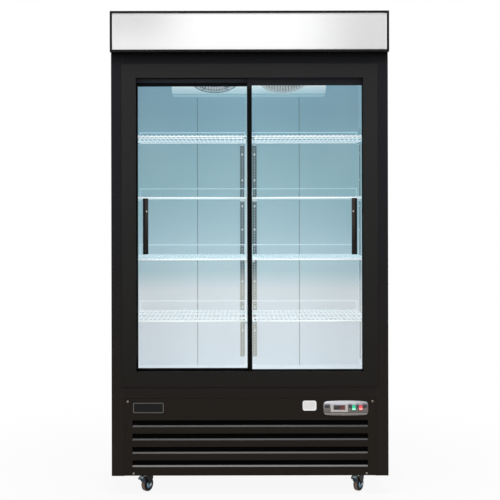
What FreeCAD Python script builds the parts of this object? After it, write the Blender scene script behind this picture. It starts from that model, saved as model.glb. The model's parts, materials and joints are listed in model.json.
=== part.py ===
"""Two-door sliding merchandiser refrigerator, one STEP file for each named piece.

Millimetres, +Z up, the front faces -Y. The origin is on the floor under the centre of the whole object.
"""
import FreeCAD
import Part
import math
import os
from FreeCAD import Placement, Rotation, Vector

# Overall body
body_width = 1200.0
body_depth = 685.0
caster_height = 88.0

# Front face, stacked upwards from the bottom of the body
grille_height = 336.0
lower_rail_height = 49.0
sill_height = 68.0
opening_height = 1271.0
header_height = 61.0
upper_rail_height = 45.0
canopy_height = 177.0

# Front face, across
opening_width = 984.0
jamb_width = 63.0
side_return = 53.0
back_return = 20.0

# Canopy sign box
canopy_overhang = 45.0
canopy_seat = 50.0
canopy_rise = 14.0
canopy_wall = 2.0
canopy_lip = 10.5
lip_thickness = 3.0
sign_thickness = 3.0
canopy_tube_radius = 9.0
canopy_tube_margin = 60.0

# Walls
sheet = 1.2
liner_sheet = 1.0
side_wall = 60.0
back_wall = 60.0
roof_wall = 55.0
floor_wall = 54.0
header_depth = 110.0
rear_seam = 250.0
seam_gap = 2.0

# Door frame and tracks
frame_proud = 4.0
frame_web = 4.0
jamb_web = 3.0
jamb_pocket = 20.0
track_depth = 90.0
header_pocket = 22.0
sill_pocket = 61.0
track_base = 2.0
guide_fin = 3.0
guide_drop = 14.0
guide_clearance = 2.0
rail_bead_width = 4.0
rail_bead_height = 6.0

# Doors
door_thickness = 26.0
door_recess = 22.0
door_gap = 10.0
door_overlap = 18.0
stile_width = 18.0
jamb_cover = 16.0
header_cover = 14.0
door_floor_gap = 5.0
top_rail_show = 28.0
bottom_rail_show = 2.0
glass_thickness = 14.0
pane = 4.0
glass_bite = 8.0
glazing_clearance = 0.2
roller_tread = 11.0
roller_flange = 13.0
roller_width = 10.0
roller_inset = 40.0
roller_cavity = 14.0
roller_cavity_height = 33.0
axle_radius = 3.0
running_clearance = 0.05
seat_clearance = 0.2
seal_width = 6.0
seal_clearance = 0.6

# Handles
handle_width = 23.0
handle_length = 246.0
handle_bottom = 1045.0
handle_offset = 456.0
handle_plate = 3.0
handle_grip_width = 9.0
handle_proud = 10.0
handle_screw_inset = 58.0

# Shelves
shelf_level_bottom = 745.0
shelf_pitch = 273.7
shelf_levels = 4
shelf_front_set = 120.0
shelf_depth = 480.0
shelf_wall_gap = 6.0
shelf_centre_gap = 13.0
frame_rod = 3.0
side_rod = 2.6
deck_wire = 1.9
deck_wire_pitch = 20.0
weld_sink = 0.5
cross_rod_front = 140.0
cross_rod_rear = 330.0
fence_height = 50.0
fence_rod = 2.5

# Shelf supports
pilaster_width = 21.0
pilaster_thickness = 3.0
pilaster_bottom = 520.0
pilaster_top = 1631.0
pilaster_offset = 30.0
pilaster_slot = 6.5
pilaster_slot_pitch = 12.7
pilaster_slot_width = 4.0
side_pilaster_inset = 55.0
clip_width = 12.0
clip_height = 9.0
clip_reach = 14.0
post_width = 18.0
post_depth = 24.0
post_wall = 1.5
post_set = 116.0
post_top_lap = 50.0
lamp_width = 14.0
lamp_depth = 9.0
lamp_margin = 80.0

# Evaporator
evap_width = 712.0
evap_lip_y = 30.0
evap_lip_z = 1776.0
evap_lip = 3.0
evap_back_y = 150.0
evap_panel = 270.0
evap_tilt = 32.0
evap_sheet = 1.5
evap_fan_offset = 156.0
fan_hole = 118.0
guard_radius = 122.0
guard_wire = 2.2
guard_ring_pitch = 26.0
evap_fan_radius = 108.0
evap_coil_width = 640.0
evap_coil_depth = 90.0
fin_pitch = 13.0
fin_sheet = 1.0
fin_edge = 6.0
coil_plate = 2.0
tube_pitch = 40.0

# Fans and their motors
hub_radius = 26.0
blade_count = 5
blade_chord = 70.0
blade_thickness = 2.4
blade_pitch = 28.0
fan_depth = 26.0
fan_set_back = 8.0
motor_radius = 36.0
motor_length = 55.0
shaft_radius = 4.0
motor_gap = 12.0

# Lower panel
panel_gap = 0.8
grille_flange = 12.0
louvre_count = 4
louvre_width = 1020.0
louvre_top = 328.6
louvre_pitch = 57.7
louvre_open = 18.0
louvre_lip = 9.0
panel_screw_head = 5.0
panel_screw_height = 2.4
panel_screw_radius = 2.0
panel_screw_length = 10.0
upper_screw_offset = 530.0
upper_screw_z = 410.0
lower_screw_offset = 505.0
lower_screw_z = 98.0

# Controls and plates on the lower panel
bezel_x = 414.5
bezel_z = 380.5
bezel_width = 195.0
bezel_height = 67.0
bezel_end_height = 53.0
bezel_depth = 9.0
bezel_round = 4.0
display_x = 386.0
display_z = 384.5
display_width = 50.0
display_height = 20.0
display_depth = 55.0
green_x = 448.5
red_x = 478.5
rocker_z = 383.0
rocker_width = 20.0
rocker_radius = 12.0
rocker_front = 6.0
rocker_back = 3.0
rocker_pin = 1.5
rocker_clearance = 0.3
rocker_tilt = 7.0
info_x = 257.5
info_z = 391.5
info_width = 63.0
info_height = 47.0
info_thickness = 2.0
badge_x = -440.5
badge_z = 383.0
badge_width = 134.0
badge_height = 46.0
badge_thickness = 2.5
plate_round = 6.0

# Machine space
pan_sheet = 2.0
pan_flange = 35.0
pan_set_back = 20.0
rear_cover_inset = 14.0
rear_slot_count = 6
rear_slot_width = 420.0
rear_slot_height = 10.0
rear_slot_pitch = 30.0
rear_slot_top = 330.0
gland_x = 480.0
gland_z = 150.0
gland_radius = 13.0
condenser_x = -250.0
condenser_width = 400.0
condenser_depth = 70.0
condenser_height = 230.0
condenser_set = 60.0
condenser_fan_radius = 95.0
compressor_x = 190.0
compressor_y = 120.0
compressor_radius = 85.0
compressor_height = 210.0
compressor_foot = 14.0
drain_pan_x = -260.0
drain_pan_y = 220.0
drain_pan_width = 360.0
drain_pan_depth = 190.0
drain_pan_height = 50.0
drain_pan_wall = 2.5
tube_radius = 5.0

# Casters
caster_offset = 466.0
caster_front_y = -250.0
caster_rear_y = 285.0
wheel_radius = 31.5
wheel_width = 24.0
hub_step = 3.0
tyre_depth = 9.0
caster_trail = 24.0
caster_heading = -32.0
caster_plate_width = 66.0
caster_plate_depth = 82.0
caster_plate_sheet = 3.0
king_pin = 5.0
king_pin_head = 9.0
race_radius = 24.0
race_height = 4.0
crown_radius = 26.0
crown_height = 5.0
bearing_gap = 0.3
fork_sheet = 2.5
fork_gap = 2.0
caster_axle = 4.0
pedal_pin = 2.5
pedal_width = 24.0
pedal_reach = 34.0
pedal_sheet = 3.0

# Places worked out from the sizes above
half_width = body_width / 2
front_y = -(body_depth + canopy_overhang) / 2 + canopy_overhang
back_y = front_y + body_depth
base_z = caster_height
grille_top = base_z + grille_height
sill_bottom = grille_top + lower_rail_height
opening_bottom = sill_bottom + sill_height
opening_top = opening_bottom + opening_height
header_top = opening_top + header_height
canopy_bottom = header_top + upper_rail_height
canopy_top = canopy_bottom + canopy_height
roof_z = canopy_top - canopy_rise
seat_y = front_y + canopy_seat
liner_x = half_width - side_wall
liner_back = back_y - back_wall
ceiling_z = roof_z - roof_wall
floor_z = grille_top + floor_wall
header_back = front_y + header_depth
opening_x = opening_width / 2
track_back = front_y + track_depth
header_web = opening_top + header_pocket
header_web_top = header_web + frame_web
sill_web_top = opening_bottom - sill_pocket
sill_web = sill_web_top - frame_web
rail_top = sill_web_top + track_base + rail_bead_height

door_edge = opening_x + jamb_cover
door_meeting = door_overlap / 2
door_bottom = sill_web_top + track_base + door_floor_gap
door_top = opening_top + header_cover
glass_bottom = opening_bottom + bottom_rail_show
glass_top = opening_top - top_rail_show
right_door_y = front_y + door_recess
left_door_y = right_door_y + door_thickness + door_gap
fin_mid_y = right_door_y + door_thickness + (door_gap - guide_fin) / 2
roller_z = rail_top + seat_clearance + roller_tread
guide_bottom = header_web - track_base - guide_drop

shelf_front = front_y + shelf_front_set
shelf_back = shelf_front + shelf_depth
post_front = front_y + post_set
post_back = post_front + post_depth
pan_top = base_z + pan_sheet
grille_face = front_y


def block(x0, x1, y0, y1, z0, z1):
    """A box between two limits on each axis."""
    return Part.makeBox(x1 - x0, y1 - y0, z1 - z0, Vector(x0, y0, z0))


def rod(start, end, radius):
    """A round bar from one point to another."""
    start = Vector(*start)
    end = Vector(*end)
    return Part.makeCylinder(radius, (end - start).Length, start, end - start)


def prism_x(points, x0, x1):
    """A (y, z) outline drawn out along X."""
    wire = Part.makePolygon([Vector(x0, y, z) for y, z in points + points[:1]])
    return Part.Face(wire).extrude(Vector(x1 - x0, 0, 0))


def turned(profile, centre, axis):
    """A (radius, height) outline turned about an axis through centre."""
    wire = Part.makePolygon([Vector(r, 0, h) for r, h in profile + profile[:1]])
    solid = Part.Face(wire).revolve(Vector(0, 0, 0), Vector(0, 0, 1), 360)
    solid.Placement = Placement(Vector(*centre), Rotation(Vector(0, 0, 1), Vector(*axis)))
    return solid


def joined(shapes):
    """Shapes that touch or cross, made into one solid."""
    return shapes[0].multiFuse(shapes[1:]).removeSplitter()


def mirrored(shape):
    """The shape's twin on the other side of the middle plane."""
    return shape.mirror(Vector(0, 0, 0), Vector(1, 0, 0))


def moved(shape, placement):
    """A copy of the shape put through a placement."""
    copy = shape.copy()
    copy.Placement = placement.multiply(copy.Placement)
    return copy


def export(name, shapes):
    """Writes one node: one solid, or several kept separate."""
    solids = [solid for shape in shapes for solid in shape.Solids]
    node = solids[0] if len(solids) == 1 else Part.makeCompound(solids)
    node.exportStep("parts/" + name + ".step")
    print(name, len(solids), round(node.Volume / 1000.0, 1))


def outer_shell():
    """Left side, right side and roof sheets."""
    outline = [(front_y, base_z), (back_y, base_z), (back_y, roof_z), (seat_y, roof_z),
               (seat_y, canopy_bottom), (front_y, canopy_bottom)]
    side = joined([
        prism_x(outline, -half_width, -half_width + sheet),
        block(-half_width, -half_width + side_return, front_y, front_y + sheet, base_z, canopy_bottom - sheet),
        block(-half_width, -half_width + back_return, back_y - sheet, back_y, base_z, roof_z - sheet),
    ])
    inner = half_width - sheet
    roof = block(-inner, inner, seat_y, back_y, roof_z - sheet, roof_z)
    return [side, mirrored(side), roof]


def rear_panels():
    """Back sheet, louvred cover of the machine space, and the cable gland in it."""
    x = half_width - back_return - panel_gap
    back = block(-x, x, back_y - sheet, back_y, grille_top, roof_z - sheet)
    y = back_y - rear_cover_inset
    top = grille_top - panel_gap
    outer = block(-x, x, y - sheet, back_y, base_z, top)
    cover = outer.cut(block(-x + sheet, x - sheet, y, back_y + 1, base_z + sheet, top - sheet))
    for row in range(rear_slot_count):
        z = rear_slot_top - row * rear_slot_pitch
        for side in (-1, 1):
            mid = side * (rear_slot_width / 2 + rear_slot_pitch)
            cover = cover.cut(block(mid - rear_slot_width / 2, mid + rear_slot_width / 2, y - sheet - 1, y + 1,
                                    z - rear_slot_height, z))
    hole = rod((gland_x, y - sheet - 1, gland_z), (gland_x, y + 1, gland_z), gland_radius - 4)
    cover = cover.cut(hole)
    gland = joined([
        rod((gland_x, y, gland_z), (gland_x, back_y - 3, gland_z), gland_radius),
        rod((gland_x, y - 14, gland_z), (gland_x, y, gland_z), gland_radius - 4),
    ]).cut(rod((gland_x, y - 20, gland_z), (gland_x, back_y, gland_z), gland_radius - 9))
    return [back, cover, gland]


def face_rails():
    """Top front rail with the canopy's seat, and bottom front rail with the floor sheet."""
    x = half_width - side_return - panel_gap
    wide = half_width - sheet
    lap = 12.0
    upper = joined([
        block(-x, x, front_y, front_y + sheet, header_top - lap, canopy_bottom),
        block(-wide, wide, front_y, seat_y, canopy_bottom - sheet, canopy_bottom),
        block(-wide, wide, seat_y - sheet, seat_y, canopy_bottom - sheet, roof_z),
    ])
    lower = joined([
        block(-x, x, front_y, front_y + sheet, grille_top, sill_web),
        block(-wide, wide, front_y + sheet, back_y - sheet, grille_top, grille_top + sheet),
    ])
    return [upper, lower]


def base_pan():
    """Tray under the machine space."""
    x = half_width - sheet
    y0 = front_y + pan_set_back
    y1 = back_y - rear_cover_inset - 2 * sheet
    tray = block(-x, x, y0, y1, base_z, base_z + pan_flange)
    hollow = block(-x + pan_sheet, x - pan_sheet, y0 + pan_sheet, y1 - pan_sheet, pan_top, base_z + pan_flange + 1)
    return [tray.cut(hollow)]


def foam_insulation():
    """Foam slabs between the outer sheets and the liner."""
    low = grille_top + sheet
    high = roof_z - sheet
    front = front_y + sheet
    back = back_y - sheet
    step = canopy_bottom - sheet
    inner = liner_x + liner_sheet
    rear = liner_back + liner_sheet
    head = header_back - liner_sheet
    side = prism_x([(front, low), (back, low), (back, high), (seat_y, high), (seat_y, step), (front, step)],
                   -half_width + sheet, -inner)
    slab_back = block(-inner, inner, rear, back, low, high)
    slab_roof = block(-inner, inner, head, rear, ceiling_z + liner_sheet, high)
    header = prism_x([(front, header_web_top), (head, header_web_top), (head, high), (seat_y, high),
                      (seat_y, step), (front, step)], -inner, inner)
    floor = prism_x([(front, low), (rear, low), (rear, floor_z - liner_sheet), (track_back, floor_z - liner_sheet),
                     (track_back, sill_web), (front, sill_web)], -inner, inner)
    return [side, mirrored(side), slab_back, slab_roof, header, floor]


def inner_liner():
    """White inner sheets: sides, rear in three, ceiling, floor, header wall and the rear cover strip."""
    x = liner_x
    t = liner_sheet
    side = prism_x([(front_y, floor_z), (liner_back, floor_z), (liner_back, ceiling_z), (header_back, ceiling_z),
                    (header_back, header_web_top), (front_y, header_web_top)], -x - t, -x)
    edges = [(-x, -rear_seam - seam_gap / 2), (-rear_seam + seam_gap / 2, rear_seam - seam_gap / 2),
             (rear_seam + seam_gap / 2, x)]
    rear = [block(a, b, liner_back, liner_back + t, floor_z, ceiling_z) for a, b in edges]
    ceiling = block(-x - t, x + t, header_back - t, liner_back + t, ceiling_z, ceiling_z + t)
    floor = block(-x - t, x + t, track_back, liner_back + t, floor_z - t, floor_z)
    wall = block(-x, x, header_back - t, header_back, header_web_top - t, ceiling_z)
    soffit = block(-x, x, track_back, header_back - t, header_web_top - t, header_web_top)
    strip_x = pilaster_offset - pilaster_width / 2 - panel_gap
    strip = block(-strip_x, strip_x, liner_back - pilaster_thickness, liner_back, pilaster_bottom, pilaster_top)
    return [side, mirrored(side)] + rear + [ceiling, floor, wall, soffit, strip]


def door_frame():
    """Two jambs, the header and the sill round the door opening."""
    x = opening_x
    pocket = x + jamb_pocket
    jamb = joined([
        block(-x - jamb_width, -x, front_y - frame_proud, front_y, sill_bottom, header_top),
        block(-pocket - jamb_web, -pocket, front_y, track_back, sill_web_top, header_web),
        block(-liner_x, -pocket, track_back - jamb_web, track_back, sill_web_top, header_web),
        block(-pocket, -x - jamb_pocket / 2, fin_mid_y, fin_mid_y + guide_fin, sill_web_top + rail_bead_height,
              guide_bottom),
    ])
    header = joined([
        block(-x, x, front_y - frame_proud, front_y, opening_top, header_top),
        block(-liner_x, liner_x, front_y, track_back, header_web, header_web_top),
    ])
    sill = joined([
        block(-x, x, front_y - frame_proud, front_y, sill_bottom, opening_bottom),
        block(-liner_x, liner_x, front_y, track_back, sill_web, sill_web_top),
    ])
    return [jamb, mirrored(jamb), header, sill]


def top_door_track():
    """Plate under the header with three fins that guide the door tops."""
    x = opening_x + jamb_pocket - panel_gap
    front = right_door_y - guide_clearance - guide_fin
    rear = left_door_y + door_thickness + guide_clearance
    plate = header_web - track_base
    fins = [block(-x, x, y, y + guide_fin, guide_bottom, plate) for y in (front, fin_mid_y, rear)]
    return [joined([block(-x, x, front, rear + guide_fin, plate, header_web)] + fins)]


def bottom_door_track():
    """Plate on the sill with a rail bead under each door."""
    x = opening_x + jamb_pocket - panel_gap
    plate = sill_web_top + track_base
    beads = []
    for y in (right_door_y + door_thickness / 2, left_door_y + door_thickness / 2):
        beads.append(block(-x, x, y - rail_bead_width / 2, y + rail_bead_width / 2, plate, rail_top))
    base = block(-x, x, right_door_y - guide_fin, left_door_y + door_thickness + guide_fin, sill_web_top, plate)
    return [joined([base] + beads)]


def centre_post():
    """Slotted upright behind the meeting stiles, with its bracket to the header wall."""
    x = post_width / 2
    top = header_web_top + post_top_lap
    tube = block(-x, x, post_front, post_back, floor_z, top).cut(
        block(-x + post_wall, x - post_wall, post_front + post_wall, post_back - post_wall, floor_z - 1, top + 1))
    bracket = block(-x, x, header_back, post_front, top - post_top_lap + 6, top - 6)
    return [joined([tube, bracket])]


def interior_lamp():
    """Light bar on the back of the centre post."""
    x = lamp_width / 2
    bottom = opening_bottom + lamp_margin
    top = opening_top - lamp_margin
    bar = block(-x, x, post_back, post_back + lamp_depth, bottom, top)
    return [bar.makeFillet(3.0, [e for e in bar.Edges if abs(e.BoundBox.YMin - post_back - lamp_depth) < 1e-6
                                 and e.BoundBox.ZLength > 100])]


def shelf_height(level):
    """Height of the shelf frame's rod middle on one level."""
    return shelf_level_bottom + level * shelf_pitch


def shelf_supports():
    """Slotted strips on the rear and side walls, and a clip under each shelf corner."""
    slots = int((pilaster_top - pilaster_bottom) / pilaster_slot_pitch)
    face = liner_back - pilaster_thickness
    shapes = []
    half = pilaster_width / 2
    strip = block(pilaster_offset - half, pilaster_offset + half, face, liner_back, pilaster_bottom, pilaster_top)
    holes = []
    for i in range(slots):
        z = pilaster_bottom + (i + 0.5) * pilaster_slot_pitch - pilaster_slot / 2
        holes.append(block(pilaster_offset - pilaster_slot_width / 2, pilaster_offset + pilaster_slot_width / 2,
                           face - 1, liner_back + 1, z, z + pilaster_slot))
    strip = strip.cut(Part.makeCompound(holes))
    shapes += [strip, mirrored(strip)]
    side_ys = (shelf_front + side_pilaster_inset, shelf_back - side_pilaster_inset)
    wall = liner_x - pilaster_thickness
    for y in side_ys:
        strip = block(wall, liner_x, y - half, y + half, pilaster_bottom, pilaster_top)
        holes = []
        for i in range(slots):
            z = pilaster_bottom + (i + 0.5) * pilaster_slot_pitch - pilaster_slot / 2
            holes.append(block(wall - 1, liner_x + 1, y - pilaster_slot_width / 2, y + pilaster_slot_width / 2,
                               z, z + pilaster_slot))
        strip = strip.cut(Part.makeCompound(holes))
        shapes += [strip, mirrored(strip)]
    c = clip_width / 2
    for level in range(shelf_levels):
        top = shelf_height(level) - frame_rod - seat_clearance
        low = top - clip_height
        clips = [block(wall - clip_reach, wall, y - c, y + c, low, top) for y in side_ys]
        y = post_front + post_depth / 2
        clips.append(block(post_width / 2, post_width / 2 + clip_reach, y - c, y + c, low, top))
        clips.append(block(pilaster_offset - c, pilaster_offset + c, shelf_back - 2 * c, face, low, top))
        shapes += clips + [mirrored(clip) for clip in clips]
    return shapes


def shelf():
    """The lowest right-hand wire shelf: the deck, and the fence that stands on its rear rod."""
    z = shelf_height(0)
    x0 = shelf_centre_gap + frame_rod
    x1 = liner_x - shelf_wall_gap - frame_rod
    y0 = shelf_front + frame_rod
    y1 = shelf_back - frame_rod
    rods = [rod((x0 - frame_rod, y, z), (x1 + frame_rod, y, z), frame_rod)
            for y in (y0, shelf_front + cross_rod_front, shelf_front + cross_rod_rear, y1)]
    rods += [rod((x, y0, z), (x, y1, z), side_rod) for x in (x0, x1)]
    wires = []
    count = int((x1 - x0) / deck_wire_pitch)
    first = (x0 + x1 - (count - 1) * deck_wire_pitch) / 2
    top = z + frame_rod + deck_wire - weld_sink
    for i in range(count):
        x = first + i * deck_wire_pitch
        wires.append(rod((x, shelf_front, top), (x, shelf_back, top), deck_wire))
    deck = joined(rods + wires)
    rail = z + fence_height
    fence = [rod((x0, y1, rail), (x1, y1, rail), fence_rod)]
    foot = z + frame_rod
    for x in (x0 + fence_rod, x1 - fence_rod):
        fence.append(rod((x, y1, foot), (x, y1, rail), deck_wire))
    return [deck, joined(fence)]


def shelves(level, lowest):
    """The right and left shelf of one level, copied from the lowest right-hand one."""
    lift = Placement(Vector(0, 0, shelf_height(level) - shelf_height(0)), Rotation())
    right = [moved(shape, lift) for shape in lowest]
    return right + [mirrored(shape) for shape in right]


def fan(radius, bore):
    """A fan about +Z, its hub from z = -fan_depth to 0."""
    hub = Part.makeCylinder(hub_radius, fan_depth, Vector(0, 0, -fan_depth))
    blades = []
    for i in range(blade_count):
        blade = block(hub_radius - 4, radius + 20, -blade_chord / 2, blade_chord / 2,
                      -blade_thickness / 2, blade_thickness / 2)
        blade = blade.common(Part.makeCylinder(radius, 200, Vector(0, 0, -100)))
        blade.rotate(Vector(0, 0, 0), Vector(1, 0, 0), blade_pitch)
        blade.translate(Vector(0, 0, -fan_depth / 2))
        blade.rotate(Vector(0, 0, 0), Vector(0, 0, 1), i * 360.0 / blade_count)
        blades.append(blade)
    wheel = joined([hub] + blades)
    wheel = wheel.common(Part.makeCylinder(radius, 200, Vector(0, 0, -100)))
    return wheel.cut(Part.makeCylinder(bore, 200, Vector(0, 0, -100)))


def motor(bar_reach, leg_length):
    """A fan motor about +Z behind a fan at the origin, with a bar and two legs that hold it."""
    back = -fan_depth - motor_gap
    shapes = [
        Part.makeCylinder(motor_radius, motor_length, Vector(0, 0, back - motor_length)),
        Part.makeCylinder(shaft_radius, fan_depth + motor_gap + 1, Vector(0, 0, back - 1)),
        block(-bar_reach, bar_reach, -12, 12, back - motor_length - 3, back - motor_length),
    ]
    for x in (-bar_reach, bar_reach - 3):
        shapes.append(block(x, x + 3, -12, 12, back - motor_length - 3, back - motor_length - 3 + leg_length))
    return joined(shapes)


def evap_place(side):
    """Placement of a fan's frame on the tilted panel: local Z points out of the panel, Y up its slope."""
    tilt = math.radians(evap_tilt)
    mid = evap_panel / 2
    y = evap_lip_y - mid * math.cos(tilt)
    z = evap_lip_z + evap_lip + mid * math.sin(tilt)
    return Placement(Vector(side * evap_fan_offset, y, z), Rotation(Vector(1, 0, 0), 180 - evap_tilt))


def evaporator_cover():
    """Folded white cover hung from the ceiling, with two fan holes in its tilted panel."""
    tilt = math.radians(evap_tilt)
    front = evap_lip_y - evap_panel * math.cos(tilt)
    rise = evap_lip_z + evap_lip + evap_panel * math.sin(tilt)
    t = evap_sheet
    outer = [(evap_back_y, evap_lip_z), (evap_lip_y, evap_lip_z), (evap_lip_y, evap_lip_z + evap_lip), (front, rise),
             (front, ceiling_z), (evap_back_y, ceiling_z)]
    shift = t * (1 - math.sin(tilt)) / math.cos(tilt)
    inner = [(evap_back_y - t, evap_lip_z + t), (evap_lip_y + t, evap_lip_z + t),
             (evap_lip_y + t, evap_lip_z + evap_lip + shift), (front + t, rise + shift), (front + t, ceiling_z + 1),
             (evap_back_y - t, ceiling_z + 1)]
    x = evap_width / 2
    cover = prism_x(outer, -x, x).cut(prism_x(inner, -x + t, x - t))
    for side in (-1, 1):
        hole = Part.makeCylinder(fan_hole, 40, Vector(0, 0, -20))
        cover = cover.cut(moved(hole, evap_place(side)))
    return [cover]


def evaporator_fan_guards():
    """A wire guard over each fan hole."""
    shapes = []
    for side in (-1, 1):
        wires = [Part.makeTorus(guard_radius, guard_wire, Vector(0, 0, guard_wire + seat_clearance))]
        ring = guard_radius - guard_ring_pitch
        while ring > guard_wire * 4:
            wires.append(Part.makeTorus(ring, guard_wire * 0.75, Vector(0, 0, guard_wire * 3.6)))
            ring -= guard_ring_pitch
        for angle in (0, 60, 120):
            c = math.cos(math.radians(angle)) * guard_radius
            s = math.sin(math.radians(angle)) * guard_radius
            wires.append(rod((-c, -s, guard_wire * 2.3), (c, s, guard_wire * 2.3), guard_wire * 0.9))
        shapes.append(moved(joined(wires), evap_place(side)))
    return shapes


def evaporator_fan(side):
    """One evaporator fan behind its hole."""
    wheel = fan(evap_fan_radius, shaft_radius + running_clearance)
    wheel.translate(Vector(0, 0, -fan_set_back))
    return [moved(wheel, evap_place(side))]


def condenser_fan_place():
    """Placement of the condenser fan's frame: local Z points to the front."""
    y = front_y + condenser_set + condenser_depth + 2 * fan_set_back
    z = pan_top + condenser_height / 2
    return Placement(Vector(condenser_x, y, z), Rotation(Vector(1, 0, 0), 90))


def fan_motors():
    """The two evaporator fan motors and the condenser fan motor, each with its bracket."""
    shapes = []
    reach = fan_hole + 6
    for side in (-1, 1):
        depth = fan_set_back + fan_depth + motor_gap + motor_length + 3 - evap_sheet
        part = motor(reach, depth)
        part.translate(Vector(0, 0, -fan_set_back))
        shapes.append(moved(part, evap_place(side)))
    back = -fan_depth - motor_gap - motor_length
    drop = condenser_height / 2
    shaft = joined([
        Part.makeCylinder(motor_radius, motor_length, Vector(0, 0, back)),
        Part.makeCylinder(shaft_radius, fan_depth + motor_gap + 1, Vector(0, 0, back + motor_length - 1)),
        block(-motor_radius, motor_radius, -drop, 0, back - 3, back),
        block(-motor_radius, motor_radius, -drop, -drop + 3, back - 3, back + motor_length),
    ])
    shapes.append(moved(shaft, condenser_fan_place()))
    return shapes


def finned_coil(x0, x1, y0, y1, z0, z1):
    """Fins between two end plates, threaded on tubes whose bends stand out at one end."""
    pitch = (x1 - x0 - coil_plate) / round((x1 - x0) / fin_pitch)
    plates = [block(x0, x0 + coil_plate, y0, y1, z0, z1), block(x1 - coil_plate, x1, y0, y1, z0, z1)]
    fins = []
    x = x0 + pitch
    while x < x1 - coil_plate - fin_sheet:
        fins.append(block(x, x + fin_sheet, y0 + coil_plate, y1 - coil_plate, z0 + fin_edge, z1 - fin_edge))
        x += pitch
    mid = (y0 + y1) / 2
    rows = int((z1 - z0 - 2 * fin_edge) / (2 * tube_pitch)) * 2
    first = (z0 + z1 - (rows - 1) * tube_pitch) / 2
    tubes = [rod((x0, mid, first + i * tube_pitch), (x1, mid, first + i * tube_pitch), tube_radius)
             for i in range(rows)]
    bends = []
    for i in range(0, rows, 2):
        z = first + (i + 0.5) * tube_pitch
        bend = Part.makeTorus(tube_pitch / 2, tube_radius, Vector(x1, mid, z), Vector(0, 1, 0))
        bends.append(bend.common(block(x1, x1 + tube_pitch, mid - tube_pitch, mid + tube_pitch, z - tube_pitch,
                                       z + tube_pitch)))
    return [joined(plates + fins + tubes + bends)]


def evaporator_coil():
    """Finned coil behind the evaporator fans."""
    x = evap_coil_width / 2
    y1 = evap_back_y - 2 * evap_sheet
    return finned_coil(-x, x, y1 - evap_coil_depth, y1, evap_lip_z + evap_sheet, ceiling_z)


def condenser_coil():
    """Finned coil behind the lower panel."""
    x = condenser_width / 2
    y = front_y + condenser_set
    return finned_coil(condenser_x - x, condenser_x + x, y, y + condenser_depth, pan_top, pan_top + condenser_height)


def condenser_fan():
    """Fan that draws air through the condenser."""
    return [moved(fan(condenser_fan_radius, shaft_radius + running_clearance), condenser_fan_place())]


def canopy_housing():
    """Sign box with a lip round its open front."""
    front = front_y - canopy_overhang
    back = seat_y - sheet - seat_clearance
    w = canopy_wall
    x = half_width
    box = block(-x, x, front, back, canopy_bottom, canopy_top)
    box = box.cut(block(-x + w, x - w, front + lip_thickness, back - w, canopy_bottom + w, canopy_top - w))
    window = block(-x + canopy_lip, x - canopy_lip, front - 1, front + lip_thickness + 1,
                   canopy_bottom + canopy_lip, canopy_top - canopy_lip)
    return [box.cut(window)]


def canopy_sign_panel():
    """Plain translucent sign panel behind the lip."""
    y = front_y - canopy_overhang + lip_thickness
    x = half_width - canopy_wall - panel_gap
    return [block(-x, x, y, y + sign_thickness, canopy_bottom + canopy_wall + panel_gap,
                  canopy_top - canopy_wall - panel_gap)]


def canopy_lamp():
    """Lamp tube and its two holders on the back of the sign box."""
    back = seat_y - sheet - seat_clearance - canopy_wall
    z = canopy_bottom + canopy_height / 2
    x = half_width - canopy_tube_margin
    y = back - 3 * canopy_tube_radius
    tube = rod((-x, y, z), (x, y, z), canopy_tube_radius)
    h = canopy_tube_radius * 1.4
    holders = [block(-x - 14, -x, y - h, back, z - h, z + h), block(x, x + 14, y - h, back, z - h, z + h)]
    return [tube] + holders


def door_span(side):
    """Outer and meeting edge of a door, and the front of its frame. Side -1 is left, 1 is right."""
    return side * door_edge, -side * door_meeting, left_door_y if side < 0 else right_door_y


def roller_place(side):
    """X of the outer and the inner roller of a door."""
    outer, meeting, _ = door_span(side)
    return outer - side * (stile_width + roller_inset), meeting + side * (stile_width + roller_inset)


def door_frame_parts(side):
    """Two stiles, two rails and two roller pins of a door."""
    outer, meeting, y = door_span(side)
    x0 = min(outer, meeting)
    x1 = max(outer, meeting)
    mid = y + door_thickness / 2
    g = glazing_clearance
    glazing = block(x0 + stile_width - glass_bite - g, x1 - stile_width + glass_bite + g,
                    mid - glass_thickness / 2 - g, mid + glass_thickness / 2 + g,
                    glass_bottom - glass_bite - g, glass_top + glass_bite + g)
    cavity = block(x0 - 1, x1 + 1, mid - roller_cavity / 2, mid + roller_cavity / 2,
                   door_bottom - 1, door_bottom + roller_cavity_height)
    parts = []
    spans = [(x0, x0 + stile_width, door_bottom, door_top), (x1 - stile_width, x1, door_bottom, door_top),
             (x0 + stile_width, x1 - stile_width, glass_top, door_top),
             (x0 + stile_width, x1 - stile_width, door_bottom, glass_bottom)]
    for a, b, low, high in spans:
        parts.append(block(a, b, y, y + door_thickness, low, high).cut(glazing).cut(cavity))
    pins = []
    for x in roller_place(side):
        bore = rod((x, y - 1, roller_z), (x, y + door_thickness + 1, roller_z), axle_radius + running_clearance)
        parts[3] = parts[3].cut(bore)
        pins.append(rod((x, y + 1, roller_z), (x, y + door_thickness - 1, roller_z), axle_radius))
    return parts + pins


def door_glass(side):
    """Two panes and the spacer between them."""
    outer, meeting, y = door_span(side)
    x0 = min(outer, meeting) + stile_width - glass_bite
    x1 = max(outer, meeting) - stile_width + glass_bite
    z0 = glass_bottom - glass_bite
    z1 = glass_top + glass_bite
    front = y + (door_thickness - glass_thickness) / 2
    back = front + glass_thickness
    spacer = block(x0, x1, front + pane, back - pane, z0, z1).cut(
        block(x0 + glass_bite, x1 - glass_bite, front, back, z0 + glass_bite, z1 - glass_bite))
    return [block(x0, x1, front, front + pane, z0, z1), block(x0, x1, back - pane, back, z0, z1), spacer]


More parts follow.
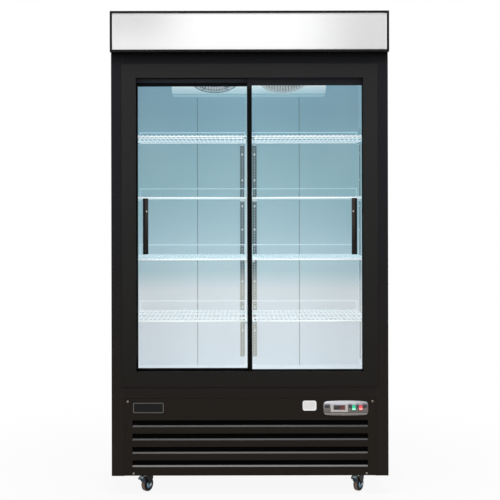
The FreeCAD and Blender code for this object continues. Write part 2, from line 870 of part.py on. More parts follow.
def door_handle(side):
    """Low handle on the glass: a plate, a grip along its outer edge, and two screws."""
    _, _, y = door_span(side)
    face = y + (door_thickness - glass_thickness) / 2
    x = side * handle_offset
    z0 = handle_bottom
    z1 = handle_bottom + handle_length
    plate = block(x - handle_width / 2, x + handle_width / 2, face - handle_plate, face, z0, z1)
    edge = x + side * handle_width / 2
    a = min(edge, edge - side * handle_grip_width)
    grip = block(a, a + handle_grip_width, face - handle_proud, face, z0, z1)
    grip = grip.makeFillet(2.5, [e for e in grip.Edges if e.BoundBox.YMax < face - handle_proud + 0.01])
    flange = x - side * handle_grip_width / 2
    screws = []
    for z in (z0 + handle_screw_inset, z1 - handle_screw_inset):
        screws.append(rod((flange, face - handle_plate - 1.5, z), (flange, face - handle_plate, z), 3.5))
    return [joined([plate, grip])] + screws


def door_roller(side, which):
    """One grooved roller under a door. Which is 0 for the outer roller and 1 for the inner."""
    _, _, y = door_span(side)
    x = roller_place(side)[which]
    w = roller_width / 2
    groove = rail_bead_width / 2 + 0.5
    bore = axle_radius + running_clearance
    profile = [(bore, -w), (roller_flange, -w), (roller_flange, -groove), (roller_tread, -groove),
               (roller_tread, groove), (roller_flange, groove), (roller_flange, w), (bore, w)]
    return [turned(profile, (x, y + door_thickness / 2, roller_z), (0, 1, 0))]


def door_meeting_seal():
    """Strip on the left door's meeting stile that closes the gap to the right door."""
    x = door_meeting - stile_width / 2
    back = left_door_y
    front = right_door_y + door_thickness + seal_clearance
    return [block(x - seal_width / 2, x + seal_width / 2, front, back, glass_bottom, guide_bottom - 4)]


def rounded_plate(x, z, width, height, thickness):
    """A flat plate on the lower panel with rounded corners."""
    y = grille_face
    plate = block(x - width / 2, x + width / 2, y - thickness, y, z - height / 2, z + height / 2)
    return plate.makeFillet(plate_round, [e for e in plate.Edges if e.BoundBox.YLength > thickness / 2
                                          and e.BoundBox.XLength < 0.01 and e.BoundBox.ZLength < 0.01])


def front_grille():
    """Lower panel, flanged inwards, with louvres and holes for the display and the screws."""
    x = half_width - side_return - panel_gap
    z0 = base_z + panel_gap
    z1 = grille_top - panel_gap
    y = grille_face
    panel = block(-x, x, y, y + grille_flange, z0, z1).cut(
        block(-x + sheet, x - sheet, y + sheet, y + grille_flange + 1, z0 + sheet, z1 - sheet))
    half = louvre_width / 2
    cuts = []
    lips = []
    for i in range(louvre_count):
        top = louvre_top - i * louvre_pitch
        low = top - louvre_open - louvre_lip
        cuts.append(block(-half, half, y - 1, y + sheet + 1, low, top))
        lips.append(prism_x([(y, low), (y + louvre_lip, low + louvre_lip), (y + louvre_lip + sheet, low + louvre_lip),
                             (y + sheet, low)], -half, half))
    g = 0.5
    cuts.append(block(display_x - display_width / 2 - g, display_x + display_width / 2 + g, y - 1, y + sheet + 1,
                      display_z - display_height / 2 - g, display_z + display_height / 2 + g))
    for sx, sz in screw_places():
        cuts.append(rod((sx, y - 1, sz), (sx, y + sheet + 1, sz), panel_screw_radius + seat_clearance))
    panel = panel.cut(Part.makeCompound(cuts))
    return [joined([panel] + lips)]


def screw_places():
    """X and Z of the four panel screws."""
    return [(-upper_screw_offset, upper_screw_z), (upper_screw_offset, upper_screw_z),
            (-lower_screw_offset, lower_screw_z), (lower_screw_offset, lower_screw_z)]


def panel_screws():
    """Four screws of the lower panel."""
    y = grille_face
    shapes = []
    for x, z in screw_places():
        head = Part.makeCylinder(panel_screw_head, panel_screw_height, Vector(x, y, z), Vector(0, -1, 0))
        head = head.makeFillet(1.2, [head.Edges[i] for i in range(len(head.Edges))
                                     if abs(head.Edges[i].BoundBox.YMax - y + panel_screw_height) < 0.01])
        shank = rod((x, y, z), (x, y + panel_screw_length, z), panel_screw_radius)
        shapes.append(joined([head, shank]))
    return shapes


def control_bezel():
    """Silver bezel with bowed edges, openings for the display and the rockers, and the rocker pins."""
    y = grille_face
    w = bezel_width / 2
    e = bezel_end_height / 2
    h = bezel_height / 2

    def at(u, v):
        return Vector(bezel_x + u, y, bezel_z + v)

    edges = [Part.Arc(at(-w, e), at(0, h), at(w, e)).toShape(), Part.LineSegment(at(w, e), at(w, -e)).toShape(),
             Part.Arc(at(w, -e), at(0, -h), at(-w, -e)).toShape(), Part.LineSegment(at(-w, -e), at(-w, e)).toShape()]
    body = Part.Face(Part.Wire(edges)).extrude(Vector(0, -bezel_depth, 0))
    front = y - bezel_depth
    body = body.makeFillet(bezel_round, [edge for edge in body.Edges if edge.BoundBox.YMax < front + 0.01])
    g = rocker_clearance
    openings = [block(display_x - display_width / 2 - g, display_x + display_width / 2 + g, front - 1, y + 1,
                      display_z - display_height / 2 - g, display_z + display_height / 2 + g)]
    pins = []
    for x in (green_x, red_x):
        r = rocker_width / 2 + g
        openings.append(block(x - r, x + r, front - 1, y + 1, rocker_z - rocker_radius - g,
                              rocker_z + rocker_radius + g))
        pins.append(rod((x - r - 1, rocker_axis_y(), rocker_z), (x + r + 1, rocker_axis_y(), rocker_z), rocker_pin))
    return [joined([body.cut(Part.makeCompound(openings))] + pins)]


def rocker_axis_y():
    """Y of the pin that both rockers tip on."""
    return grille_face - bezel_depth + rocker_front - 1.5


def rocker(x):
    """A rocker with its top pressed in, tipping on the bezel's pin."""
    y = rocker_axis_y()
    w = rocker_width / 2
    drum = rod((x - w, y, rocker_z), (x + w, y, rocker_z), rocker_radius)
    slab = block(x - w, x + w, y - rocker_front, y + rocker_back, rocker_z - rocker_radius, rocker_z + rocker_radius)
    body = drum.common(slab)
    body = body.cut(rod((x - w - 1, y, rocker_z), (x + w + 1, y, rocker_z), rocker_pin + running_clearance))
    body.rotate(Vector(x, y, rocker_z), Vector(1, 0, 0), -rocker_tilt)
    return [body]


def control_display():
    """Thermostat with its window in the bezel."""
    front = grille_face - bezel_depth
    return [block(display_x - display_width / 2, display_x + display_width / 2, front, front + display_depth,
                  display_z - display_height / 2, display_z + display_height / 2)]


def compressor():
    """Sealed compressor on four feet, with its terminal box."""
    r = compressor_radius
    z0 = pan_top
    base = z0 + compressor_foot
    h = compressor_height
    profile = [(0, 0), (r * 0.6, 0), (r * 0.92, 0.12 * h), (r, 0.25 * h), (r, 0.45 * h), (r + 4, 0.45 * h),
               (r + 4, 0.48 * h), (r, 0.48 * h), (r, 0.75 * h), (r * 0.9, 0.88 * h), (r * 0.55, 0.98 * h), (0, h)]
    shell = turned(profile, (compressor_x, compressor_y, base), (0, 0, 1))
    plate = block(compressor_x - r - 15, compressor_x + r + 15, compressor_y - r * 0.7, compressor_y + r * 0.7,
                  base - 3, base + 3)
    feet = []
    for dx in (-r, r):
        for dy in (-r * 0.5, r * 0.5):
            feet.append(rod((compressor_x + dx, compressor_y + dy, z0), (compressor_x + dx, compressor_y + dy, base), 12))
    box = block(compressor_x + r - 10, compressor_x + r + 40, compressor_y - 35, compressor_y + 35,
                base + 0.3 * h, base + 0.7 * h)
    return [joined([shell, plate, box] + feet)]


def drain_pan():
    """Tray that takes the melt water."""
    w = drain_pan_width / 2
    d = drain_pan_depth / 2
    t = drain_pan_wall
    tray = block(drain_pan_x - w, drain_pan_x + w, drain_pan_y - d, drain_pan_y + d, pan_top,
                 pan_top + drain_pan_height)
    return [tray.cut(block(drain_pan_x - w + t, drain_pan_x + w - t, drain_pan_y - d + t, drain_pan_y + d - t,
                           pan_top + t, pan_top + drain_pan_height + 1))]


def tube(points):
    """A bent tube through a list of points."""
    parts = [rod(a, b, tube_radius) for a, b in zip(points, points[1:])]
    parts += [Part.makeSphere(tube_radius, Vector(*p)) for p in points[1:-1]]
    return joined(parts)


def refrigerant_lines():
    """Discharge tube to the condenser and suction tube up to the insulated floor."""
    g = seat_clearance
    z = pan_top + compressor_foot + compressor_height * 0.6
    x0 = compressor_x - compressor_radius - g
    x1 = condenser_x + condenser_width / 2 + 40
    y1 = front_y + condenser_set + condenser_depth / 2 + tube_pitch / 2
    end = condenser_x + condenser_width / 2 + g
    discharge = tube([(x0, compressor_y, z), (x1, compressor_y, z), (x1, y1, z), (end, y1, z)])
    top = pan_top + compressor_foot + compressor_height + g
    suction = tube([(compressor_x, compressor_y, top), (compressor_x, compressor_y, top + 40),
                    (compressor_x, back_y - 80, top + 40), (compressor_x, back_y - 80, grille_top - g)])
    return [discharge, suction]


def caster_corners():
    """Name, X and Y of the four caster axes."""
    return [("front_left", -caster_offset, caster_front_y), ("front_right", caster_offset, caster_front_y),
            ("rear_left", -caster_offset, caster_rear_y), ("rear_right", caster_offset, caster_rear_y)]


def caster_place(x, y):
    """Placement of a caster's frame: the king pin is its Z axis and the wheel trails along its Y."""
    return Placement(Vector(x, y, 0), Rotation(Vector(0, 0, 1), caster_heading))


def crown_top():
    """Top of the fork's crown, under the bearing race."""
    return base_z - caster_plate_sheet - race_height - bearing_gap


def caster_plates():
    """Top plates with their bearing race and king pin."""
    shapes = []
    under = base_z - caster_plate_sheet
    top = crown_top()
    for _, x, y in caster_corners():
        w = caster_plate_width / 2
        d = caster_plate_depth / 2
        head = top - crown_height - bearing_gap
        plate = joined([
            block(x - w, x + w, y - d, y + d, under, base_z),
            rod((x, y, under - race_height), (x, y, under), race_radius),
            rod((x, y, head), (x, y, under), king_pin),
            rod((x, y, head - 3), (x, y, head), king_pin_head),
        ])
        shapes.append(plate)
    return shapes


def caster_fork(braked):
    """Fork with its axle, in the caster's own frame, and the pedal's pin where there is one."""
    top = crown_top()
    low = top - crown_height
    inner = wheel_width / 2 + fork_gap
    r = wheel_radius
    t = caster_trail
    crown = rod((0, 0, low), (0, 0, top), crown_radius)
    crown = crown.cut(rod((0, 0, low - 1), (0, 0, top + 1), king_pin + running_clearance))
    outline = [(-20, top), (-20, low - 14), (t - 12, r - 9), (t - 5, r - 13), (t + 5, r - 13), (t + 12, r - 5),
               (t + 12, r + 6), (20, low), (20, top)]
    parts = [crown]
    bore = rod((-50, t, r), (50, t, r), caster_axle + running_clearance)
    for x in (-inner - fork_sheet, inner):
        parts.append(prism_x(outline, x, x + fork_sheet).cut(bore))
    parts[1] = parts[1].cut(rod((0, 0, low - 1), (0, 0, top + 1), king_pin + running_clearance))
    if braked:
        y, z = pedal_axis()
        parts.append(rod((-inner - fork_sheet, y, z), (inner + fork_sheet, y, z), pedal_pin))
    end = inner + fork_sheet
    axle = joined([rod((-end - 4, t, r), (end + 4, t, r), caster_axle), rod((end, t, r), (end + 4, t, r), 7),
                   rod((-end - 4, t, r), (-end, t, r), 7)])
    return [joined(parts), axle]


def pedal_axis():
    """Y and Z of the brake pedal's pin in the caster's frame."""
    return -13.0, crown_top() - crown_height - 9.0


def brake_pedal():
    """Pedal pressed down on its pin, with its shoe against the tread."""
    y, z = pedal_axis()
    s = pedal_sheet
    outline = [(y - pedal_reach, z - 10), (y - pedal_reach, z - 10 + s), (y - 4, z + 5), (y + 4, z + 5),
               (y + 5, z - 4), (y + 8.7, z - 20.4), (y + 5, z - 20.4), (y - 1, z - 5), (y - 4, z - 3)]
    half = pedal_width / 2
    pedal = prism_x(outline, -half, half)
    return [pedal.cut(rod((-half - 1, y, z), (half + 1, y, z), pedal_pin + running_clearance))]


def caster_wheel():
    """Wheel in the caster's frame: a hub and the tyre round it."""
    w = wheel_width / 2
    r = wheel_radius
    rim = r - tyre_depth
    bore = caster_axle + running_clearance
    hub = [(bore, -w), (10, -w), (12, -w + hub_step), (rim, -w + hub_step), (rim, w - hub_step), (12, w - hub_step),
           (10, w), (bore, w)]
    tyre = [(rim, -w + 1), (r - 3, -w), (r - 0.6, -w + 3), (r, -w + 8), (r, w - 8), (r - 0.6, w - 3), (r - 3, w),
            (rim, w - 1)]
    centre = (0, caster_trail, r)
    return [turned(hub, centre, (1, 0, 0)), turned(tyre, centre, (1, 0, 0))]


def main():
    """Builds every node and writes its file."""
    os.makedirs("parts", exist_ok=True)
    export("outer_shell", outer_shell())
    export("rear_panels", rear_panels())
    export("face_rails", face_rails())
    export("base_pan", base_pan())
    export("foam_insulation", foam_insulation())
    export("inner_liner", inner_liner())
    export("door_frame", door_frame())
    export("top_door_track", top_door_track())
    export("bottom_door_track", bottom_door_track())
    export("centre_post", centre_post())
    export("interior_lamp", interior_lamp())
    export("shelf_supports", shelf_supports())
    lowest = shelf()
    for level, name in enumerate(("bottom", "lower_middle", "upper_middle", "top")):
        export(name + "_shelves", shelves(level, lowest))
    export("evaporator_cover", evaporator_cover())
    export("evaporator_fan_guards", evaporator_fan_guards())
    export("evaporator_coil", evaporator_coil())
    export("evaporator_fan_left", evaporator_fan(-1))
    export("evaporator_fan_right", evaporator_fan(1))
    export("fan_motors", fan_motors())
    export("canopy_housing", canopy_housing())
    export("canopy_sign_panel", canopy_sign_panel())
    export("canopy_lamp", canopy_lamp())
    for side, name in ((-1, "left"), (1, "right")):
        export(name + "_door_frame", door_frame_parts(side))
        export(name + "_door_glass", door_glass(side))
        export(name + "_door_handle", door_handle(side))
        export(name + "_door_outer_roller", door_roller(side, 0))
        export(name + "_door_inner_roller", door_roller(side, 1))
    export("door_meeting_seal", door_meeting_seal())
    export("front_grille", front_grille())
    export("panel_screws", panel_screws())
    export("control_bezel", control_bezel())
    export("control_display", control_display())
    export("green_rocker", rocker(green_x))
    export("red_rocker", rocker(red_x))
    export("info_plate", [rounded_plate(info_x, info_z, info_width, info_height, info_thickness)])
    export("badge_plate", [rounded_plate(badge_x, badge_z, badge_width, badge_height, badge_thickness)])
    export("compressor", compressor())
    export("condenser_coil", condenser_coil())
    export("condenser_fan", condenser_fan())
    export("drain_pan", drain_pan())
    export("refrigerant_lines", refrigerant_lines())
    export("caster_plates", caster_plates())
    for name, x, y in caster_corners():
        place = caster_place(x, y)
        braked = name.startswith("front")
        export("caster_fork_" + name, [moved(shape, place) for shape in caster_fork(braked)])
        export("caster_wheel_" + name, [moved(shape, place) for shape in caster_wheel()])
        if braked:
            export("brake_pedal_" + name, [moved(shape, place) for shape in brake_pedal()])


main()
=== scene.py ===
"""Two-door sliding merchandiser refrigerator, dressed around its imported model.

Metres, +Z up, the front faces -Y. Each sub-assembly is a class that holds its sizes, builds its meshes with bmesh
operators and gives them their finish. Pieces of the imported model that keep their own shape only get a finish.
"""

import json
import logging
import math
from dataclasses import dataclass
from enum import Enum
from functools import cache
from typing import Any, Callable, Iterable, Optional, Sequence, Union

import bmesh
import bpy
from mathutils import Matrix, Vector


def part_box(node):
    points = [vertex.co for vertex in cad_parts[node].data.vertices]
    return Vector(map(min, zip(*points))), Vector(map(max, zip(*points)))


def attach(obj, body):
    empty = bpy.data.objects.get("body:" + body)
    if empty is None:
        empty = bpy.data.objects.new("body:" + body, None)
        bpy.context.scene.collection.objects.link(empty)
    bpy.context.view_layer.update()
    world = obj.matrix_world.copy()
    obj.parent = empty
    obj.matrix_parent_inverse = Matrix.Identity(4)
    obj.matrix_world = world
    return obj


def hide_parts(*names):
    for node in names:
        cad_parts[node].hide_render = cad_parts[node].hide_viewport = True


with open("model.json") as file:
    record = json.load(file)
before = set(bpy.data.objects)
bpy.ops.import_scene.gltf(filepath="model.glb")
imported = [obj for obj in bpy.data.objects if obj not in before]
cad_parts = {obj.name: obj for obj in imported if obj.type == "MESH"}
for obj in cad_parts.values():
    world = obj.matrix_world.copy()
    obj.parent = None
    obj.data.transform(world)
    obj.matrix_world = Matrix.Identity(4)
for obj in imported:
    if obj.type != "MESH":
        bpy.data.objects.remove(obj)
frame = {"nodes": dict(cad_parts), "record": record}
log = logging.getLogger("merchandiser")

Colour = tuple[float, float, float]
Span = tuple[float, float]
Stops = tuple[tuple[float, Colour], ...]
Point = Sequence[float]
Number = Union["Value", float]
Sockets = dict[Union[str, int], Any]
Edge = bmesh.types.BMEdge
Face = bmesh.types.BMFace
EdgeTest = Callable[[Edge], bool]
FaceTest = Callable[[Face], bool]

CABINET = "cabinet"
NEAR = 1e-5  # lengths closer than this are the same
MERGE = 1e-7  # vertices closer than this are one
STRAIGHT = 0.999  # cosine above which a direction runs along an axis
BENT = 0.3  # radians above which two faces meet in an edge that shows
SMOOTH = math.radians(40)  # faces that meet flatter than this are shaded as one
HAIR, SOFT, FINE, RIM = 0.0003, 0.0004, 0.0005, 0.0006  # radii of small parts' edges
RELIEF = 0.001  # height of a finish's relief at full strength
SIGNS = (-1, 1)
ACROSS, FORWARD, BACKWARD, UP = (1, 0, 0), (0, -1, 0), (0, 1, 0), (0, 0, 1)
BLACK: Colour = (0.0, 0.0, 0.0)
WHITE: Colour = (1.0, 1.0, 1.0)


def srgb(red: float, green: float, blue: float) -> Colour:
    """A colour given as it looks on screen.

    Args:
        red, green, blue: levels from 0 to 255.

    Returns:
        The same colour as linear light.
    """
    levels = [level / 255.0 for level in (red, green, blue)]
    light = [x / 12.92 if x <= 0.04045 else ((x + 0.055) / 1.055) ** 2.4 for x in levels]
    return light[0], light[1], light[2]


def bands(*rows: tuple[float, float, float, float]) -> Stops:
    """A ramp's stops, from rows of a position and a colour's three levels on screen."""
    return tuple((position, srgb(*levels)) for position, *levels in rows)


class Named(Enum):
    """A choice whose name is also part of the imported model's names."""

    @property
    def word(self) -> str:
        """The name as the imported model's pieces use it."""
        return self.name.lower()


class Side(Named):
    """The two doors, and the sign of X on their side."""

    LEFT = -1
    RIGHT = 1


class Corner(Named):
    """The four casters, with the place of their king pins on the floor plan."""

    FRONT_LEFT = (-0.466, -0.250)
    FRONT_RIGHT = (0.466, -0.250)
    REAR_LEFT = (-0.466, 0.285)
    REAR_RIGHT = (0.466, 0.285)

    @property
    def braked(self) -> bool:
        """True for the two front casters."""
        return self.value[1] < 0


class Value:
    """A socket of a node tree, on which shader maths is written as Python expressions."""

    def __init__(self, tree: "Tree", socket: bpy.types.NodeSocket) -> None:
        """Keeps the tree and the socket."""
        self.tree = tree
        self.socket = socket

    def __add__(self, other: Number) -> "Value":
        """The sum."""
        return self.tree.math("ADD", self, other)

    __radd__ = __add__

    def __sub__(self, other: Number) -> "Value":
        """The difference."""
        return self.tree.math("SUBTRACT", self, other)

    def __rsub__(self, other: Number) -> "Value":
        """The difference, from a plain number."""
        return self.tree.math("SUBTRACT", other, self)

    def __mul__(self, other: Number) -> "Value":
        """The product."""
        return self.tree.math("MULTIPLY", self, other)

    __rmul__ = __mul__

    def __truediv__(self, other: Number) -> "Value":
        """The quotient."""
        return self.tree.math("DIVIDE", self, other)

    def __rtruediv__(self, other: Number) -> "Value":
        """The quotient, of a plain number."""
        return self.tree.math("DIVIDE", other, self)

    def __abs__(self) -> "Value":
        """The size without its sign."""
        return self.tree.math("ABSOLUTE", self)

    def above(self, start: float, end: float) -> "Value":
        """0 below start, 1 above end, and smooth between them."""
        sockets = {"Value": self, "From Min": start, "From Max": end}
        return self.tree.node("MapRange", {"interpolation_type": "SMOOTHSTEP"}, sockets)

    def within(self, start: float, end: float, soft: float) -> "Value":
        """1 between start and end, 0 outside them, with soft borders."""
        return self.above(start - soft, start + soft) * (1.0 - self.above(end - soft, end + soft))


class Tree:
    """The node tree of a material or of the world."""

    def __init__(self, owner: Union[bpy.types.Material, bpy.types.World]) -> None:
        """Empties the owner's tree.

        Args:
            owner: the material or the world.
        """
        owner.use_nodes = True
        self.data = owner.node_tree
        self.data.nodes.clear()
        self.places: Optional[Value] = None

    def node(self, kind: str, settings: Optional[dict[str, Any]] = None, sockets: Optional[Sockets] = None,
             output: Union[str, int] = 0) -> Value:
        """Adds a node.

        Args:
            kind: the node's type, without Blender's prefix.
            settings: its own settings, such as an operation; stops are a ramp's positions and colours.
            sockets: a value or a link for each input.
            output: the output to carry on with.

        Returns:
            That output, ready for shader maths.
        """
        made = self.data.nodes.new("ShaderNode" + kind)
        for key, setting in (settings or {}).items():
            if key == "stops":
                ramp = made.color_ramp
                while len(ramp.elements) < len(setting):
                    ramp.elements.new(1.0)
                for element, (position, colour) in zip(ramp.elements, setting):
                    element.position = position
                    element.color = (*colour, 1.0)
            else:
                setattr(made, key, setting)
        for key, value in (sockets or {}).items():
            entry = made.inputs[key]
            if isinstance(value, Value):
                self.data.links.new(value.socket, entry)
            elif entry.type == "RGBA":
                entry.default_value = (*value, 1.0)
            else:
                entry.default_value = value
        return Value(self, made.outputs[output])

    def math(self, operation: str, *values: Number) -> Value:
        """A Math node on values and numbers."""
        return self.node("Math", {"operation": operation}, dict(enumerate(values)))

    def place(self) -> Value:
        """Where a point lies on the piece, in its own coordinates.

        Returns:
            The place, from a node that is made once.
        """
        if self.places is None:
            self.places = self.node("TexCoord", output="Object")
        return self.places

    def axis(self, name: str) -> Value:
        """One of the place's coordinates, X, Y or Z."""
        return self.node("SeparateXYZ", sockets={"Vector": self.place()}, output=name)

    def noise(self, scale: float, detail: float = 2.0, stretch: Point = (1.0, 1.0, 1.0)) -> Value:
        """Noise from 0 to 1.

        Args:
            scale: how many lumps fit into a metre.
            detail: how many finer layers are added.
            stretch: the scale's factor along each axis, for grain that runs one way.

        Returns:
            The noise.
        """
        vector = self.node("Mapping", sockets={"Vector": self.place(), "Scale": stretch})
        return self.node("TexNoise", sockets={"Vector": vector, "Scale": scale, "Detail": detail})

    def mix(self, factor: Number, first: Any, second: Any) -> Value:
        """A blend of two colours."""
        return self.node("Mix", {"data_type": "RGBA"}, {0: factor, 6: first, 7: second}, 2)

    def vary(self, colour: Any, mask: Value, amount: float) -> Value:
        """The colour, lighter where the mask is high and darker where it is low."""
        return self.node("HueSaturation", sockets={"Color": colour, "Value": 1.0 + (mask - 0.5) * (2.0 * amount)})

    def ramp(self, value: Value, stops: Stops) -> Value:
        """A colour for each value, between the stops."""
        return self.node("ValToRGB", {"stops": stops}, {"Fac": value}, "Color")

    def close(self, kind: str, surface: Value) -> None:
        """Links the finished shader to an output node of that kind."""
        made = self.data.nodes.new("ShaderNode" + kind)
        self.data.links.new(surface.socket, made.inputs["Surface"])


@dataclass(frozen=True)
class Finish:
    """A surface finish: a Principled shader whose colour, gloss and relief vary over the piece.

    Roughness, metallic and specular are the shader's own levels, and so is the emission: a lamp's own light on the
    lamp, the lenses, the digits and the sign, and painted light on every other piece that has it. Variation is how far
    the colour strays and spread how far the roughness does, blotch and grain are how many soft patches and fine grains
    fit into a metre, and bump is the relief's strength. A kind of finish has its own ground, mottle, sheen or relief.
    """

    name: str
    colour: Colour
    roughness: float = 0.5
    metallic: float = 0.0
    specular: float = 0.5
    variation: float = 0.12
    blotch: float = 4.0
    grain: float = 700.0
    bump: float = 0.12
    # emission level: a lamp's own light on the lamp, lenses, digits and sign, painted light on other pieces
    glow_and_painted_light: float = 0.0
    spread: float = 0.24

    @cache
    def material(self) -> bpy.types.Material:
        """The finish as a material, made once.

        Returns:
            The material.
        """
        made = bpy.data.materials.new("finish_" + self.name)
        tree = Tree(made)
        tree.close("OutputMaterial", self.surface(tree))
        return made

    def surface(self, tree: Tree) -> Value:
        """The whole shader.

        Args:
            tree: the material's node tree.

        Returns:
            The shader's output.
        """
        base = tree.vary(self.ground(tree), self.mottle(tree), self.variation)
        gloss = (self.sheen(tree) - 0.5) * self.spread + self.roughness
        relief: Sockets = {"Strength": self.bump, "Distance": RELIEF, "Height": self.relief(tree)}
        sockets: Sockets = {"Base Color": base, "Roughness": gloss, "Metallic": self.metallic,
                            "Specular IOR Level": self.specular,
                            "Normal": tree.node("Bump", sockets=relief, output="Normal")}
        # emission here is painted light on every piece that is no lamp
        if self.glow_and_painted_light:
            sockets |= {"Emission Color": base, "Emission Strength": self.glow_and_painted_light}
        return tree.node("BsdfPrincipled", sockets=sockets)

    def ground(self, tree: Tree) -> Any:
        """The colour before it is mottled: here one plain colour."""
        return self.colour

    def mottle(self, tree: Tree) -> Value:
        """How light the colour is, from 0 to 1: soft blotches with finer grain in them."""
        return tree.noise(self.blotch, 4.0) * 0.65 + tree.noise(self.grain * 0.2, 1.0) * 0.35

    def sheen(self, tree: Tree) -> Value:
        """How rough the surface is, from 0 to 1: soft blotches."""
        return tree.noise(self.blotch * 2.3, 5.0)

    def relief(self, tree: Tree) -> Value:
        """The height of the surface's relief: fine grain."""
        return tree.noise(self.grain, 2.0)


@dataclass(frozen=True)
class HalfShaded(Finish):
    """Finish with painted shade on the cabinet's left half, which is darker than its right one."""

    painted_shade_colour: Colour = (0.2, 0.2, 0.2)
    border: Span = (-0.02, 0.02)

    def ground(self, tree: Tree) -> Value:
        """The painted shade's colour on the left and the finish's own colour on the right, meeting in the cabinet's
        middle.
        """
        return tree.mix(tree.axis("X").above(*self.border), self.painted_shade_colour, self.colour)


@dataclass(frozen=True)
class PowderCoat(Finish):
    """Black powder coat with orange peel, whose colour changes with the height."""

    spread: float = 0.08
    low_colour: Colour = (0.01, 0.009, 0.008)
    low: float = 0.1
    high: float = 1.6
    # height of the canopy's underside, under which a painted shadow darkens the front strip; 0 for none
    eaves: float = 0.0
    eaves_height: float = 0.05
    eaves_depth: Span = (-0.315, -0.29)
    eaves_shade: float = 0.9

    def ground(self, tree: Tree) -> Value:
        """One colour low down, another high up, and a painted shadow in the front strip under the canopy's eaves.

        Args:
            tree: the material's node tree.

        Returns:
            The colour.
        """
        height = tree.axis("Z")
        ground = tree.mix(height.above(self.low, self.high), self.low_colour, self.colour)
        if self.eaves:
            under = height.above(self.eaves - self.eaves_height, self.eaves)
            painted_eaves_shadow = under * (1.0 - tree.axis("Y").above(*self.eaves_depth))
            ground = tree.mix(painted_eaves_shadow * self.eaves_shade, ground, BLACK)
        return ground

    def relief(self, tree: Tree) -> Value:
        """Orange peel: rounded lumps with a finer grain."""
        return tree.noise(self.grain, 1.0) * 0.7 + tree.noise(self.grain * 3.1, 1.0) * 0.3


@dataclass(frozen=True)
class Banded(Finish):
    """Finish with colours in bands by height, by default over the height of the cabinet's inside."""

    bottom: float = 0.478
    top: float = 2.026
    stops: Stops = ()

    def rise(self, tree: Tree) -> Value:
        """0 at the bottom of the bands, 1 at their top."""
        return (tree.axis("Z") - self.bottom) / (self.top - self.bottom)

    def ground(self, tree: Tree) -> Value:
        """The bands."""
        return tree.ramp(self.rise(tree), self.stops)


@dataclass(frozen=True)
class LinerPaint(Banded):
    """Liner sheet with painted light and shade: cool blue and darker at the top of the cabinet, white and bright at the
    bottom.
    """

    aside: float = 0.06
    deep_across: Span = (0.15, 0.5)
    deep_rise: Span = (0.26, 0.42)
    pale_across: Span = (0.3, 0.5)
    pale_rise: Span = (0.5, 0.7)
    strip: Span = (0.0158, 0.0168)
    back: Span = (0.28, 0.29)
    lamp: float = 0.38
    lamp_loss: float = 0.3
    lamp_end: Span = (0.70, 0.71)

    def ground(self, tree: Tree) -> Value:
        """The bands of painted light and shade, with painted shade on both sides low down and painted light on them
        high up.

        The middle strip of the back sheet carries painted light from the lamp on the post.

        Args:
            tree: the material's node tree.

        Returns:
            The colour.
        """
        rise, aside = self.rise(tree), abs(tree.axis("X"))
        # painted shade on the sides low down, painted light on them high up
        deep = aside.above(*self.deep_across) * (1.0 - rise.above(*self.deep_rise))
        ground = tree.mix(deep * self.aside, super().ground(tree), BLACK)
        pale = aside.above(*self.pale_across) * rise.above(*self.pale_rise)
        ground = tree.mix(pale * self.aside, ground, WHITE)
        # painted light from the lamp on the post down the middle of the back sheet
        lit = (1.0 - aside.above(*self.strip)) * tree.axis("Y").above(*self.back)
        return tree.mix(lit * (self.lamp - rise.above(*self.lamp_end) * self.lamp_loss), ground, WHITE)


@dataclass(frozen=True)
class CoatedWire(Banded):
    """White-coated shelf wire: white along the shelves' front rods, and behind them tinted with painted light from the
    liner.
    """

    front: Span = (-0.192, -0.172)

    def ground(self, tree: Tree) -> Value:
        """The wire's own white on the front rods, then the bands of painted light."""
        return tree.mix(tree.axis("Y").above(*self.front), self.colour, super().ground(tree))


@dataclass(frozen=True)
class Textured(Finish):
    """Finish whose sheen also shows in its colour."""

    spread: float = 0.3

    def mottle(self, tree: Tree) -> Value:
        """The sheen's pattern over soft patches."""
        return self.sheen(tree) * 0.6 + super().mottle(tree) * 0.4


@dataclass(frozen=True)
class Galvanised(Textured):
    """Zinc-coated steel with spangle."""

    spangle: float = 85.0

    def sheen(self, tree: Tree) -> Value:
        """One grey for each spangle."""
        colour = tree.node("TexVoronoi", sockets={"Vector": tree.place(), "Scale": self.spangle}, output="Color")
        return tree.node("RGBToBW", sockets={"Color": colour})


@dataclass(frozen=True)
class ShelfStrip(Galvanised):
    """Zinc strip with painted light that makes it paler and warmer towards the cabinet's floor, with white clips and a
    painted top.
    """

    # paler, warmer painted light low down
    low_colour: Colour = (0.5, 0.5, 0.5)
    low: float = 0.85
    high: float = 0.98
    shelf: float = 0.745
    pitch: float = 0.2737
    clip: Span = (0.0126, 0.0028)
    clip_soft: float = 0.0006
    clip_colour: Colour = (0.7, 0.78, 0.8)
    top: Span = (1.556, 1.558)
    top_colour: Colour = (0.34, 0.5, 0.58)

    def ground(self, tree: Tree) -> Value:
        """Two greys by height, the lower one painted light, the clips' white under each shelf and the top's paint.

        Args:
            tree: the material's node tree.

        Returns:
            The colour.
        """
        height = tree.axis("Z")
        ground = tree.mix(height.above(self.low, self.high), self.low_colour, self.colour)
        phase = tree.math("MODULO", height - (self.shelf - self.pitch), self.pitch)
        start, end = (self.pitch - below for below in self.clip)
        ground = tree.mix(phase.within(start, end, self.clip_soft), ground, self.clip_colour)
        return tree.mix(height.above(*self.top), ground, self.top_colour)


@dataclass(frozen=True)
class Brushed(Textured):
    """Metal with fine lines along one axis."""

    stretch: tuple[float, float, float] = (0.02, 1.0, 1.0)

    def sheen(self, tree: Tree) -> Value:
        """The lines."""
        return tree.noise(self.grain, 3.0, self.stretch)

    def relief(self, tree: Tree) -> Value:
        """The lines' depth."""
        return self.sheen(tree)


